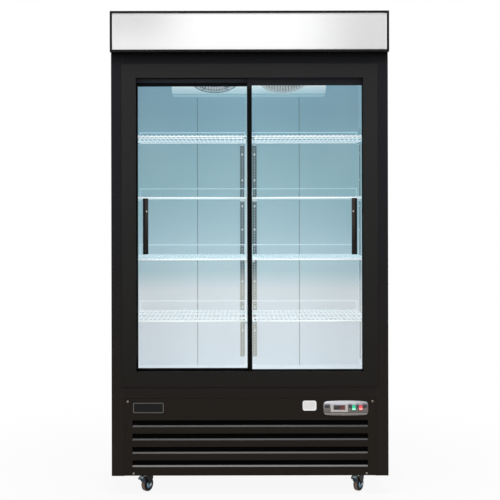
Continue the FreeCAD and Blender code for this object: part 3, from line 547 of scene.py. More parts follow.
@dataclass(frozen=True)
class Pitted(Finish):
    """Foam, rubber or cast metal with small pits."""

    def relief(self, tree: Tree) -> Value:
        """Round pits over fine grain."""
        pits = tree.node("TexVoronoi", sockets={"Vector": tree.place(), "Scale": self.grain * 0.4})
        return pits * 0.7 + super().relief(tree) * 0.3


@dataclass(frozen=True)
class Glazing(Finish):
    """Clear pane: mostly see-through, with a mirror that grows towards grazing sight and faint smears."""

    edge: float = 0.14
    spread: float = 0.06
    smeared: Span = (0.62, 0.8)
    smear: float = 0.008

    def surface(self, tree: Tree) -> Value:
        """A see-through shader and a nearly polished mirror, mixed.

        Args:
            tree: the material's node tree.

        Returns:
            The shader's output.
        """
        film = tree.noise(self.blotch, 4.0)
        clear = tree.node("BsdfTransparent", sockets={"Color": self.colour})
        gloss = film * self.spread + self.roughness
        mirror = tree.node("BsdfAnisotropic", sockets={"Color": WHITE, "Roughness": gloss})
        rim = tree.node("LayerWeight", sockets={"Blend": self.edge}, output="Fresnel")
        rim = rim * (1.0 - tree.node("NewGeometry", output="Backfacing"))
        share = rim + film.above(*self.smeared) * self.smear
        return tree.node("MixShader", sockets={0: share, 1: clear, 2: mirror})


@dataclass(frozen=True)
class SignAcrylic(Finish):
    """White sign panel with a lamp behind it: brightest in the middle, a soft grey to its ends."""

    half: float = 0.6
    end_colour: Colour = (0.7, 0.7, 0.7)
    right: Span = (0.17, 0.52)
    left: Span = (-0.48, -0.19)
    left_height: Span = (1.93, 2.07)
    left_low: float = 0.45
    left_gain: float = 0.5
    frame_width: Span = (0.011, 0.017)
    frame_height: Span = (2.078, 2.084)

    def ground(self, tree: Tree) -> Value:
        """White in the middle and along the frame, grey at the ends, lighter to the left and along the bottom.

        Args:
            tree: the material's node tree.

        Returns:
            The colour.
        """
        across, height = tree.axis("X"), tree.axis("Z")
        left = (1.0 - across.above(*self.left)) * (height.above(*self.left_height) * self.left_gain + self.left_low)
        inner = (self.half - abs(across)).above(*self.frame_width) * (1.0 - height.above(*self.frame_height))
        return tree.mix((across.above(*self.right) + left) * inner, self.colour, self.end_colour)


@dataclass(frozen=True)
class SilverPod(Banded):
    """Silver-plated control bezel with painted reflections and shade: light above its middle, darker below it and at
    its ends.
    """

    bottom: float = 0.347
    top: float = 0.414
    middle: float = 0.4145
    half: float = 0.0975
    waist: Span = (0.378, 0.384)
    brow: Span = (0.392, 0.406)
    right: Span = (0.43, 0.51)
    right_shade: float = 0.6
    rim: Span = (0.93, 1.0)
    rim_shade: float = 0.5
    shade: Colour = (0.12, 0.115, 0.12)
    dark: Colour = (0.035, 0.034, 0.04)
    dark_reflection_soft: float = 0.005
    # spans of dark painted reflection along the bezel
    dark_reflection_spans: tuple[Span, ...] = ((0.321, 0.346), (0.4235, 0.4400), (0.4590, 0.4690), (0.4870, 0.5060))

    def ground(self, tree: Tree) -> Value:
        """Bands of painted reflection that darken with painted shade to the right and the rim, with a dark painted
        reflection at each end and beside the rockers.

        Args:
            tree: the material's node tree.

        Returns:
            The colour.
        """
        across, height = tree.axis("X"), tree.axis("Z")
        upper = height.above(*self.waist)
        reach = abs(across - self.middle) / self.half
        painted_shade = across.above(*self.right) * upper * self.right_shade + reach.above(*self.rim) * self.rim_shade
        patch: Number = 0.0
        for start, end in self.dark_reflection_spans:
            patch = across.within(start, end, self.dark_reflection_soft) + patch
        patch = patch * upper * (1.0 - height.above(*self.brow))
        return tree.mix(patch, tree.mix(painted_shade, super().ground(tree), self.shade), self.dark)


@dataclass(frozen=True)
class LitLens(Finish):
    """Coloured rocker lens with a lamp in it, whose lower half is paler with painted light."""

    # the lower half's pale colour is painted light
    pale: Colour = WHITE
    split: Span = (0.379, 0.385)

    def ground(self, tree: Tree) -> Value:
        """Full colour above, painted light below."""
        return tree.mix(tree.axis("Z").above(*self.split), self.pale, self.colour)


# Ramps of painted light and shade by height: the liner, the wires that take its light, the evaporator cover, and the
# bezel, whose bands are painted reflections.
LINER_STOPS = bands(
    (0.00, 227, 230, 234), (0.235, 229, 229, 231), (0.30, 194, 211, 216), (0.38, 191, 210, 216),
    (0.45, 180, 204, 211), (0.60, 169, 198, 204), (0.80, 151, 182, 194), (1.00, 151, 182, 194))
WIRE_STOPS = bands(
    (0.00, 230, 233, 235), (0.235, 228, 231, 233), (0.34, 212, 227, 233), (0.53, 190, 214, 222), (0.60, 196, 219, 227),
    (0.69, 240, 246, 249), (0.712, 238, 244, 248), (0.727, 200, 228, 240), (1.00, 200, 228, 240))
COVER_STOPS = bands(
    (0.00, 146, 178, 188), (0.17, 152, 182, 191), (0.24, 176, 202, 210), (0.40, 185, 207, 214),
    (0.50, 192, 211, 217), (0.68, 206, 219, 225), (0.86, 226, 234, 237), (1.00, 230, 236, 239))
POD_REFLECTION_STOPS = bands(
    (0.00, 70, 66, 62), (0.10, 128, 122, 118), (0.17, 158, 152, 148), (0.23, 84, 78, 74), (0.30, 112, 106, 101),
    (0.47, 122, 115, 110), (0.52, 160, 160, 168), (0.72, 194, 195, 203), (0.88, 226, 227, 234), (1.00, 168, 168, 174))
CANOPY_BOTTOM = 1.918

# The record's slots come first, and then the trims that only pieces of this script have.
FINISHES: dict[str, Finish] = {finish.name: finish for finish in (
    # The front rails and the side returns carry a painted shadow under the canopy.
    PowderCoat("black_painted_steel", srgb(28, 29, 33), 0.46, specular=0.08, low_colour=srgb(34, 29, 26),
               eaves=CANOPY_BOTTOM),
    PowderCoat("black_aluminium", srgb(40, 40, 40), 0.44, specular=0.08, low_colour=srgb(29, 27, 23)),
    PowderCoat("dark_side_steel", srgb(30, 30, 35), 0.42, specular=0.08, low_colour=srgb(36, 31, 27),
               eaves=CANOPY_BOTTOM),
    Galvanised("galvanised_steel", srgb(150, 152, 155), 0.42, 0.75, variation=0.22),
    Pitted("rigid_foam", srgb(96, 94, 86), 0.9, specular=0.1, grain=900.0, bump=0.4),
    # Painted light and shade on the liner: its emission and its bands.
    LinerPaint("white_liner", srgb(226, 230, 232), 0.38, specular=0.3, variation=0.02, grain=300.0, bump=0.04,
               glow_and_painted_light=0.25, stops=LINER_STOPS),
    Brushed("track_aluminium", srgb(178, 180, 184), 0.36, 0.9, variation=0.1),
    # The post's emission is painted light.
    Finish("white_post", srgb(226, 232, 235), 0.4, variation=0.03, bump=0.05, glow_and_painted_light=0.29),
    Finish("lamp_white", srgb(250, 252, 255), 0.3, variation=0.03, bump=0.03, glow_and_painted_light=4.5),
    # Painted light on the strips: their emission and their paler, warmer colour low down.
    ShelfStrip("zinc_strip", srgb(114, 127, 131), 0.48, 0.1, variation=0.14, spangle=160.0, glow_and_painted_light=0.12,
               low_colour=srgb(194, 189, 180)),
    # Painted light on the wires: their emission and their tint from the liner.
    CoatedWire("white_coated_wire", srgb(250, 252, 253), 0.32, variation=0.03, grain=1500.0, bump=0.06, glow_and_painted_light=0.36,
               stops=WIRE_STOPS),
    # Painted light on the evaporator cover: its emission and its bands, bluish below and white above.
    Banded("white_cover", srgb(222, 230, 233), 0.36, variation=0.03, grain=300.0, bump=0.05, glow_and_painted_light=0.4,
           bottom=1.770, top=1.820, stops=COVER_STOPS),
    # Guard, coil and fan: their emission is painted light, and the guard and the fan carry painted shade on the left.
    HalfShaded("guard_wire", srgb(192, 196, 198), 0.4, 0.1, variation=0.06, glow_and_painted_light=0.25, painted_shade_colour=srgb(124, 148, 158)),
    Brushed("coil_aluminium", srgb(178, 184, 188), 0.4, 0.4, variation=0.1, glow_and_painted_light=0.1, stretch=(1.0, 1.0, 0.03)),
    HalfShaded("fan_plastic", srgb(178, 184, 187), 0.45, variation=0.08, grain=1200.0, glow_and_painted_light=0.15,
               painted_shade_colour=srgb(98, 122, 132)),
    Finish("motor_steel", srgb(78, 80, 84), 0.42, 0.4, variation=0.15),
    PowderCoat("canopy_black", srgb(16, 16, 17), 0.36, specular=0.15, low_colour=srgb(16, 16, 17)),
    SignAcrylic("sign_acrylic", srgb(252, 252, 252), 0.22, specular=0.2, variation=0.005, grain=200.0, bump=0.02,
                glow_and_painted_light=0.05, end_colour=srgb(217, 217, 218)),
    # Painted light makes the sash's top rail lighter than the rest.
    PowderCoat("door_black", srgb(18, 20, 23), 0.4, specular=0.04, low_colour=srgb(9, 9, 10), low=1.76, high=1.785),
    Glazing("door_glass", srgb(253.5, 254.5, 254.5), 0.02, blotch=2.2),
    Finish("handle_black", srgb(15, 14, 14), 0.42, specular=0.15, variation=0.15, grain=1600.0),
    Finish("roller_nylon", srgb(222, 218, 206), 0.4, variation=0.06, grain=1200.0),
    Pitted("seal_black", srgb(20, 20, 20), 0.7, specular=0.3, grain=1500.0),
    PowderCoat("grille_black", srgb(33, 28, 24), 0.46, specular=0.10, low_colour=srgb(31, 26, 21)),
    SilverPod("bezel_silver", srgb(190, 190, 198), 0.26, 0.25, variation=0.04, grain=1500.0, bump=0.04,
              stops=POD_REFLECTION_STOPS),
    Finish("display_black", srgb(72, 66, 66), 0.3, specular=0.3, variation=0.2, grain=2500.0, bump=0.03),
    # Each lens shines with its own lamp; its pale lower half is painted light.
    LitLens("green_lens", srgb(44, 205, 150), 0.2, variation=0.05, bump=0.04, glow_and_painted_light=0.25, pale=srgb(165, 244, 214)),
    LitLens("red_lens", srgb(240, 84, 92), 0.2, variation=0.05, bump=0.04, glow_and_painted_light=0.25, pale=srgb(255, 166, 160)),
    # The plate's emission is painted light.
    Finish("plate_white", srgb(244, 243, 242), 0.3, variation=0.03, grain=900.0, bump=0.05, glow_and_painted_light=0.12),
    Finish("plate_dark", srgb(24, 24, 24), 0.4, specular=0.12, variation=0.1, bump=0.05),
    Brushed("screw_steel", srgb(190, 184, 178), 0.34, 0.8, variation=0.1),
    Pitted("compressor_black", srgb(24, 24, 25), 0.4, bump=0.2),
    Finish("pan_plastic", srgb(60, 61, 63), 0.55, variation=0.12, grain=1400.0),
    Brushed("copper_tube", srgb(196, 120, 86), 0.3, 0.95, variation=0.18),
    Galvanised("zinc_plate", srgb(196, 202, 206), 0.26, 0.9, variation=0.14, spangle=260.0),
    Brushed("fork_steel", srgb(13, 14, 16), 0.4, 0.2, specular=0.12, variation=0.14),
    Pitted("wheel_grey", srgb(138, 121, 108), 0.6, specular=0.2, variation=0.12, grain=1800.0, bump=0.2),
    Finish("pedal_black", srgb(24, 52, 70), 0.4, specular=0.25, variation=0.12, grain=1600.0),
    # The inset's emission is painted light.
    Finish("plate_inset", srgb(232, 230, 229), 0.42, variation=0.04, grain=1600.0, bump=0.1, glow_and_painted_light=0.12),
    Brushed("badge_rim", srgb(98, 97, 92), 0.3, 0.85, variation=0.12),
    Finish("display_frame", srgb(206, 199, 197), 0.36, variation=0.05, grain=1500.0, bump=0.05),
    Finish("lit_digits", srgb(168, 56, 46), 0.5, variation=0.05, glow_and_painted_light=0.3),
    Pitted("tyre_side", srgb(17, 17, 18), 0.6, specular=0.15, variation=0.12, grain=1800.0, bump=0.2),
    Brushed("panel_screw", srgb(134, 122, 110), 0.4, 0.6, variation=0.12),
    # Painted light on the louvres' lips, lighter on the lower ones.
    PowderCoat("louvre_lip_painted_light", srgb(60, 60, 62), 0.34, specular=0.3, variation=0.08, low_colour=srgb(122, 121, 119),
               low=0.12, high=0.22),
    # Painted light makes the front door's top rail brighter.
    PowderCoat("front_door_lit_top_rail", srgb(46, 47, 52), 0.4, specular=0.04, low_colour=srgb(9, 9, 10), low=1.76,
               high=1.785),
    # Painted light on the pull's flange high up, turning to painted shade low down.
    PowderCoat("handle_flange_painted_light", srgb(54, 48, 46), 0.45, specular=0.2, grain=1600.0, low_colour=srgb(14, 12, 11),
               low=1.06, high=1.24),
    # Painted light on the lip between the doors, with painted shadow under the header at its top.
    PowderCoat("track_lip_light_and_shade", srgb(9, 9, 10), 0.42, specular=0.1, low_colour=srgb(58, 62, 68), low=1.811, high=1.815),
    # Painted light on the pedal's top.
    Brushed("pedal_top", srgb(196, 218, 216), 0.4, 0.1, variation=0.1, glow_and_painted_light=0.15),
    # A dust filter pad whose near black is painted shade for the machine space.
    Pitted("filter_mesh", srgb(9, 9, 9), 0.9, specular=0.02, variation=0.3, grain=900.0, bump=0.5),
    Brushed("spacer_metal", srgb(64, 65, 68), 0.4, 0.7, variation=0.1),
    Brushed("hub_steel", srgb(128, 168, 190), 0.3, 0.5, variation=0.12, stretch=(1.0, 0.05, 0.05)),
    # The screw heads' emission is painted light.
    Brushed("strip_screw", srgb(226, 228, 228), 0.34, 0.2, variation=0.08, glow_and_painted_light=0.2),
    # Bright painted highlight on the axle's nuts and ends.
    Brushed("nut_steel_highlight", srgb(206, 216, 220), 0.32, 0.3, variation=0.1),
)}


def middle(edge: Edge) -> Vector:
    """The middle of an edge."""
    return (edge.verts[0].co + edge.verts[1].co) / 2


def centre(face: Face) -> Vector:
    """The middle of a face."""
    return face.calc_center_median()


def runs(edge: Edge, axis: int) -> bool:
    """True if an edge runs along one axis, 0 to 2."""
    step = edge.verts[1].co - edge.verts[0].co
    return abs(step[axis]) > STRAIGHT * step.length


def same(first: float, second: float) -> bool:
    """True if two lengths are equal, as near as a mesh keeps them."""
    return abs(first - second) < NEAR


def at_depth(edge: Edge, y: float) -> bool:
    """True if an edge lies at one depth."""
    return all(same(vert.co.y, y) for vert in edge.verts)


def to_front(area: float) -> FaceTest:
    """A test for flat faces to the front that are larger than an area."""
    return lambda face: face.normal.y < -STRAIGHT and face.calc_area() > area


def corner_edges(low: Vector, high: Vector, axis: int) -> EdgeTest:
    """A test for the edges along one axis at the corners of a box.

    Args:
        low, high: opposite corners of the box.
        axis: 0 to 2.

    Returns:
        The test.
    """
    others = [i for i in range(3) if i != axis]
    return lambda edge: runs(edge, axis) and all(
        same(middle(edge)[i], low[i]) or same(middle(edge)[i], high[i]) for i in others)


def new_object(name: str, data: bpy.types.ID) -> bpy.types.Object:
    """A new object in the scene.

    Args:
        name: of the object.
        data: its mesh, light or camera.

    Returns:
        The object.
    """
    made = bpy.data.objects.new(name, data)
    bpy.context.scene.collection.objects.link(made)
    return made


class Form:
    """A mesh in the making, shaped with bmesh operators."""

    # A screw head's profile and its cross recess, as shares of its radius and height.
    SCREW_DOME = ((0.0, 0.0), (1.0, 0.0), (1.0, 0.3), (0.82, 0.72), (0.5, 0.95), (0.0, 1.0))
    CROSS_WIDE, CROSS_LONG, CROSS_DEEP = 0.13, 0.55, 0.6

    def __init__(self) -> None:
        """Starts empty."""
        self.bm = bmesh.new()

    @classmethod
    def block(cls, first: Point, second: Point, rounding: float = 0.0, segments: int = 2) -> "Form":
        """A block between two opposite corners, with its edges rounded.

        Args:
            first, second: the corners.
            rounding: the edges' radius, or 0 to leave them.
            segments: how many steps round an edge.

        Returns:
            The block.
        """
        form = cls()
        low, high = (Vector(tuple(map(pick, first, second))) for pick in (min, max))
        bmesh.ops.create_cube(form.bm, size=1.0)
        bmesh.ops.scale(form.bm, vec=high - low, verts=form.bm.verts[:])
        form.shift((high + low) / 2)
        if rounding:
            form.bevel(rounding, segments)
        return form

    @classmethod
    def rod(cls, start: Point, end: Point, radius: float, sides: int = 16, rim: float = 0.0) -> "Form":
        """A round or six-sided bar.

        Args:
            start, end: the middles of its ends.
            radius: its radius.
            sides: how many faces it has round it.
            rim: the radius of its ends' edges.

        Returns:
            The bar.
        """
        form = cls()
        along = Vector(end) - Vector(start)
        bmesh.ops.create_cone(form.bm, cap_ends=True, segments=sides, radius1=radius, radius2=radius,
                              depth=along.length)
        if rim:
            form.bevel(rim, 2, lambda edge: not runs(edge, 2))
        return form.point(along, (Vector(start) + Vector(end)) / 2)

    @classmethod
    def turned(cls, profile: Sequence[Span], foot: Point, axis: Point, steps: int = 36) -> "Form":
        """A profile spun about an axis.

        Args:
            profile: radius and height of its points; the first and last are on the axis, or it is closed.
            foot: where the axis starts.
            axis: the axis, along which heights are measured.
            steps: how many steps go round.

        Returns:
            The turned shape.
        """
        form = cls()
        verts = [form.bm.verts.new((radius, 0.0, height)) for radius, height in profile]
        pairs = list(zip(verts, verts[1:]))
        if profile[0][0] > NEAR or profile[-1][0] > NEAR:
            pairs.append((verts[-1], verts[0]))
        edges = [form.bm.edges.new(pair) for pair in pairs]
        bmesh.ops.spin(form.bm, geom=verts + edges, cent=(0, 0, 0), axis=UP, angle=math.tau, steps=steps,
                       use_merge=True)
        return form.heal().point(axis, foot)

    @classmethod
    def drawn(cls, outline: Sequence[Point], along: Point) -> "Form":
        """A flat outline drawn out.

        Args:
            outline: its corners in order.
            along: how far, and in which direction.

        Returns:
            The solid.
        """
        form = cls()
        face = form.bm.faces.new([form.bm.verts.new(point) for point in outline])
        form.pull(bmesh.ops.extrude_face_region(form.bm, geom=[face]), along)
        return form.outward()

    @classmethod
    def path(cls, points: Sequence[Point]) -> "Form":
        """A line through points, to be drawn out into a sheet.

        Args:
            points: of the line, in order.

        Returns:
            The line.
        """
        form = cls()
        verts = [form.bm.verts.new(point) for point in points]
        for pair in zip(verts, verts[1:]):
            form.bm.edges.new(pair)
        return form

    @classmethod
    def screw(cls, seat: Point, outward: Point, radius: float, height: float) -> "Form":
        """A domed screw head with a cross recess.

        Args:
            seat: the middle of its seat.
            outward: the direction its head faces.
            radius, height: of the head.

        Returns:
            The head.
        """
        form = cls.turned([(r * radius, h * height) for r, h in cls.SCREW_DOME], (0, 0, 0), UP, 16)
        wide, long = cls.CROSS_WIDE * radius, cls.CROSS_LONG * radius
        for reach in (-long, -wide, wide, long):
            form.cut(0, reach).cut(1, reach)

        def in_cross(face: Face) -> bool:
            """True for the faces of the recess."""
            x, y, _ = (abs(c) for c in centre(face))
            return face.normal.z > 0.5 and max(x, y) < long and min(x, y) < wide

        faces = form.picked(in_cross)
        grown = bmesh.ops.extrude_face_region(form.bm, geom=faces)
        bmesh.ops.delete(form.bm, geom=faces, context="FACES")
        form.pull(grown, (0, 0, -cls.CROSS_DEEP * height))
        return form.heal().point(outward, seat)

    @classmethod
    def screws(cls, seats: Iterable[Point], outward: Point, radius: float, height: float) -> "Form":
        """Screw heads alike on several seats."""
        return cls().add(*(cls.screw(seat, outward, radius, height) for seat in seats))

    def add(self, *others: "Form") -> "Form":
        """Takes other forms into this one.

        Args:
            others: the forms, which end.

        Returns:
            The form itself.
        """
        for other in others:
            mesh = other.mesh("taken")
            self.bm.from_mesh(mesh)
            bpy.data.meshes.remove(mesh)
        return self

    def pull(self, grown: dict[str, Any], by: Point) -> None:
        """Moves what an extrusion has grown."""
        verts = [item for item in grown["geom"] if isinstance(item, bmesh.types.BMVert)]
        bmesh.ops.translate(self.bm, vec=Vector(by), verts=verts)

    def shift(self, by: Point) -> "Form":
        """Moves the whole form."""
        bmesh.ops.translate(self.bm, vec=Vector(by), verts=self.bm.verts[:])
        return self

    def turn(self, degrees: float, axis: str, about: Point = (0, 0, 0)) -> "Form":
        """Turns the whole form about an axis through a point.

        Args:
            degrees: how far.
            axis: X, Y or Z.
            about: the point.

        Returns:
            The form itself.
        """
        bmesh.ops.rotate(self.bm, cent=Vector(about), matrix=Matrix.Rotation(math.radians(degrees), 3, axis),
                         verts=self.bm.verts[:])
        return self

    def point(self, axis: Point, place: Point) -> "Form":
        """Turns the form's Z to an axis, then moves its origin to a place.

        Args:
            axis: the new direction of its Z.
            place: where its origin goes.

        Returns:
            The form itself.
        """
        turn = Vector(UP).rotation_difference(Vector(axis)).to_matrix()
        bmesh.ops.rotate(self.bm, cent=(0, 0, 0), matrix=turn, verts=self.bm.verts[:])
        return self.shift(place)

    def outward(self) -> "Form":
        """Turns the faces outwards."""
        bmesh.ops.recalc_face_normals(self.bm, faces=self.bm.faces[:])
        return self

    def heal(self) -> "Form":
        """Merges doubles and turns the faces outwards."""
        bmesh.ops.remove_doubles(self.bm, verts=self.bm.verts[:], dist=MERGE)
        return self.outward()

    def bevel(self, offset: float, segments: int = 2, pick: Optional[EdgeTest] = None) -> "Form":
        """Rounds edges.

        Args:
            offset: the radius.
            segments: how many steps round.
            pick: which edges; all of them without it.

        Returns:
            The form itself.
        """
        edges = [edge for edge in self.bm.edges if pick is None or pick(edge)]
        bmesh.ops.bevel(self.bm, geom=edges, offset=offset, segments=segments, profile=0.5, affect="EDGES",
                        clamp_overlap=True, material=-1)
        return self

    def cut(self, axis: int, *places: float) -> "Form":
        """Cuts new edges where planes across an axis meet the form.

        Args:
            axis: 0 to 2.
            places: of the planes along the axis.

        Returns:
            The form itself.
        """
        facing = Vector([float(i == axis) for i in range(3)])
        for place in places:
            geom = self.bm.verts[:] + self.bm.edges[:] + self.bm.faces[:]
            bmesh.ops.bisect_plane(self.bm, geom=geom, dist=MERGE, plane_co=facing * place, plane_no=facing)
        return self

    def picked(self, pick: FaceTest) -> list[Face]:
        """The faces that pass a test."""
        self.bm.normal_update()
        return [face for face in self.bm.faces if pick(face)]

    def drop(self, pick: FaceTest) -> "Form":
        """Deletes faces, with what only they use."""
        bmesh.ops.delete(self.bm, geom=self.picked(pick), context="FACES")
        return self

    def fold(self, by: Point, pick: Optional[EdgeTest] = None) -> "Form":
        """Draws open edges out into a flange.

        Args:
            by: how far, and in which direction.
            pick: which edges; all open ones without it.

        Returns:
            The form itself.
        """
        edges = [edge for edge in self.bm.edges if len(edge.link_faces) < 2 and (pick is None or pick(edge))]
        self.pull(bmesh.ops.extrude_edge_only(self.bm, edges=edges), by)
        return self

    def wall(self, thickness: float, inside: Point) -> "Form":
        """Gives a sheet its thickness, on the side of a point.

        Args:
            thickness: of the sheet.
            inside: a point on the side that it grows to.

        Returns:
            The form itself.
        """
        self.outward()
        widest = max(self.bm.faces, key=lambda face: face.calc_area())
        if widest.normal.dot(Vector(inside) - centre(widest)) > 0:
            bmesh.ops.reverse_faces(self.bm, faces=self.bm.faces[:])
        bmesh.ops.solidify(self.bm, geom=self.bm.faces[:], thickness=thickness)
        return self

    def inset(self, width: float, depth: float, pick: FaceTest) -> "Form":
        """Insets faces by a width and lifts or sinks them by a depth."""
        bmesh.ops.inset_region(self.bm, faces=self.picked(pick), thickness=width, depth=depth, use_even_offset=True)
        return self

    def paint(self, pick: FaceTest) -> "Form":
        """Gives faces the second of the piece's finishes.

        Args:
            pick: which faces.

        Returns:
            The form itself.
        """
        for face in self.picked(pick):
            face.material_index = 1
        return self

    def mesh(self, name: str) -> bpy.types.Mesh:
        """The form as mesh data, which ends the form.

        Args:
            name: of the mesh.

        Returns:
            The mesh.
        """
        made = bpy.data.meshes.new(name)
        self.bm.to_mesh(made)
        self.bm.free()
        return made

    def piece(self, name: str, body: str, finishes: Sequence[str], replaces: Sequence[str] = (),
              slot: str = "") -> None:
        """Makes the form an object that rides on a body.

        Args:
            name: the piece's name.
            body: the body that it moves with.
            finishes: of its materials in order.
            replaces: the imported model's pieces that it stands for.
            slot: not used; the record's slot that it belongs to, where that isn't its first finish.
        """
        self.bm.normal_update()
        mesh = self.mesh(name)
        mesh.polygons.foreach_set("use_smooth", [True] * len(mesh.polygons))
        mesh.set_sharp_from_angle(angle=SMOOTH)
        made = new_object(name, mesh)
        for finish in finishes:
            mesh.materials.append(FINISHES[finish].material())
        flat = made.modifiers.new("flat_faces", "WEIGHTED_NORMAL")
        flat.keep_sharp = True
        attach(made, body)
        if replaces:
            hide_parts(*replaces)
        log.info("%s rides on %s, %d faces", name, body, len(mesh.polygons))


def rounded_plate(low: Vector, high: Vector, corner: float, rim: float) -> Form:
    """A plate that faces -Y, with round corners and a soft front rim.

    Args:
        low, high: its box.
        corner: the radius of its corners.
        rim: the radius of its front edge.

    Returns:
        The plate.
    """
    plate = Form.block(low, high)
    plate.bevel(corner, 6, lambda edge: runs(edge, 1))
    return plate.bevel(rim, 2, lambda edge: at_depth(edge, low.y))


@dataclass
class CabinetShell:
    """Side panels folded from sheet with a strap behind each seam, the roof between them, and its rivets."""

    sheet: float = 0.0012
    front_return: float = 0.053
    back_return: float = 0.020
    bend: float = 0.003
    seat_y: float = -0.270
    inside: Point = (0, 0.02, 1.0)
    strap_half: float = 0.008
    strap_top: float = 0.420
    strap_play: float = 0.0002
    rivet: float = 0.0045
    rivet_rows: int = 5
    rivet_ends: float = 0.06
    rivet_side: float = 0.022

    def side(self, sign: int) -> Form:
        """One side panel with its front and back returns.

        Args:
            sign: -1 for the left panel, 1 for the right one.

        Returns:
            The folded sheet.
        """
        low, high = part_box("outer_shell")
        x = sign * high.x
        plan = [(x - sign * self.back_return, high.y), (x, high.y), (x, self.seat_y), (x, low.y),
                (x - sign * self.front_return, low.y)]
        form = Form.path([(px, py, low.z) for px, py in plan])
        form.fold((0, 0, CANOPY_BOTTOM - low.z))
        form.fold((0, 0, high.z - CANOPY_BOTTOM), lambda edge: same(middle(edge).z, CANOPY_BOTTOM)
                  and not runs(edge, 2) and middle(edge).y > self.seat_y)
        form.bevel(self.bend, 3, corner_edges(low, high, 2))
        return form.wall(self.sheet, self.inside)

    def build(self) -> None:
        """Makes the shell and its rivets."""
        low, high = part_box("outer_shell")
        inner = high.x - self.sheet
        shell = Form().add(*(self.side(sign) for sign in SIGNS))
        shell.add(Form.block((-inner, self.seat_y, high.z - self.sheet), (inner, high.y, high.z), SOFT, 1))
        back = low.y + self.sheet
        for sign in SIGNS:
            seam = sign * (high.x - self.front_return)
            shell.add(Form.block((seam - self.strap_half, back, low.z + self.strap_play),
                                 (seam + self.strap_half, back + self.sheet, self.strap_top), SOFT, 1))
        shell.piece("cabinet_shell", CABINET, ["dark_side_steel"], ["outer_shell"])
        head = [(0.0, 0.0), (self.rivet, 0.0), (0.8 * self.rivet, 0.0012), (0.0, 0.002)]
        step = (high.y - self.seat_y - 2 * self.rivet_ends) / (self.rivet_rows - 1)
        rivets = Form()
        for row in range(self.rivet_rows):
            for sign in SIGNS:
                place = (sign * (inner - self.rivet_side), self.seat_y + self.rivet_ends + row * step, high.z)
                rivets.add(Form.turned(head, place, UP, 16))
        rivets.piece("roof_rivets", CABINET, ["screw_steel"])


@dataclass
class Canopy:
    """Sign box: a rounded frame round the lit panel."""

    lip: float = 0.0105
    lip_fold: float = 0.0008
    wall: float = 0.002
    rounding: float = 0.0025

    def build(self) -> None:
        """Makes the box."""
        low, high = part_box("canopy_housing")
        box = Form.block(low, high, self.rounding, 3)
        flat = to_front(0.05)
        box.inset(self.lip - self.rounding, 0.0, flat).drop(flat)
        box.fold((0, self.lip_fold, 0)).wall(self.wall, (low + high) / 2)
        box.piece("canopy_frame", CABINET, ["canopy_black"], ["canopy_housing"])


@dataclass
class OpeningFrame:
    """Jambs, header and sill round the doors: black extrusions with soft edges and their inner webs."""

    width: float = 0.492
    jamb: float = 0.063
    proud: float = 0.004
    front: float = -0.320
    back: float = -0.230
    pocket: float = 0.020
    web: float = 0.003
    floor_web: float = 0.004
    liner: float = 0.540
    sill_bottom: float = 0.473
    sill_top: float = 0.541
    head_bottom: float = 1.812
    head_top: float = 1.873
    low_web: float = 0.480
    high_web: float = 1.834
    lip_front: float = -0.2685
    lip_back: float = -0.2655
    lip_bottom: float = 1.797
    lip_play: float = 0.006
    soft: float = 0.0012
    inside: Point = (0, 0, 1.2)

    def build(self) -> None:
        """Makes the frame: a ring of sheet round the opening, the webs behind it and the lips between the doors."""
        face = self.front - self.proud
        edge = self.width + self.pocket
        outer = self.width + self.jamb
        form = Form.path([(-outer, face, self.sill_bottom), (outer, face, self.sill_bottom)])
        form.fold((0, 0, self.head_top - self.sill_bottom))
        form.cut(0, -self.width, self.width).cut(2, self.sill_top, self.head_bottom)
        form.drop(lambda f: abs(centre(f).x) < self.width and self.sill_top < centre(f).z < self.head_bottom)
        form.wall(self.proud, self.inside)
        form.bevel(self.soft, 2, lambda e: at_depth(e, face) and e.calc_face_angle(0.0) > BENT)
        for sign in SIGNS:
            lip = self.width + self.pocket / 2
            for first, second, front, back, low, high, rounding, segments in (
                    (edge, edge + self.web, self.front, self.back, self.low_web, self.high_web, SOFT, 1),
                    (edge, self.liner, self.back - self.web, self.back, self.low_web, self.high_web, SOFT, 1),
                    (lip, edge, self.lip_front, self.lip_back, self.low_web + self.lip_play,
                     self.head_bottom + self.lip_play, RIM, 2)):
                form.add(Form.block((sign * first, front, low), (sign * second, back, high), rounding, segments))
        form.add(Form.block((-edge, self.lip_front, self.lip_bottom), (edge, self.lip_back, self.high_web), RIM))
        for web in (self.low_web - self.floor_web, self.high_web):
            form.add(Form.block((-self.liner, self.front, web), (self.liner, self.back, web + self.floor_web), SOFT, 1))
        # The lips between the doors take painted light, with painted shadow at their top.
        form.paint(lambda f: self.lip_front - NEAR < centre(f).y < self.lip_back + NEAR)
        form.piece("opening_frame", CABINET, ["black_aluminium", "track_lip_light_and_shade"], ["door_frame"])


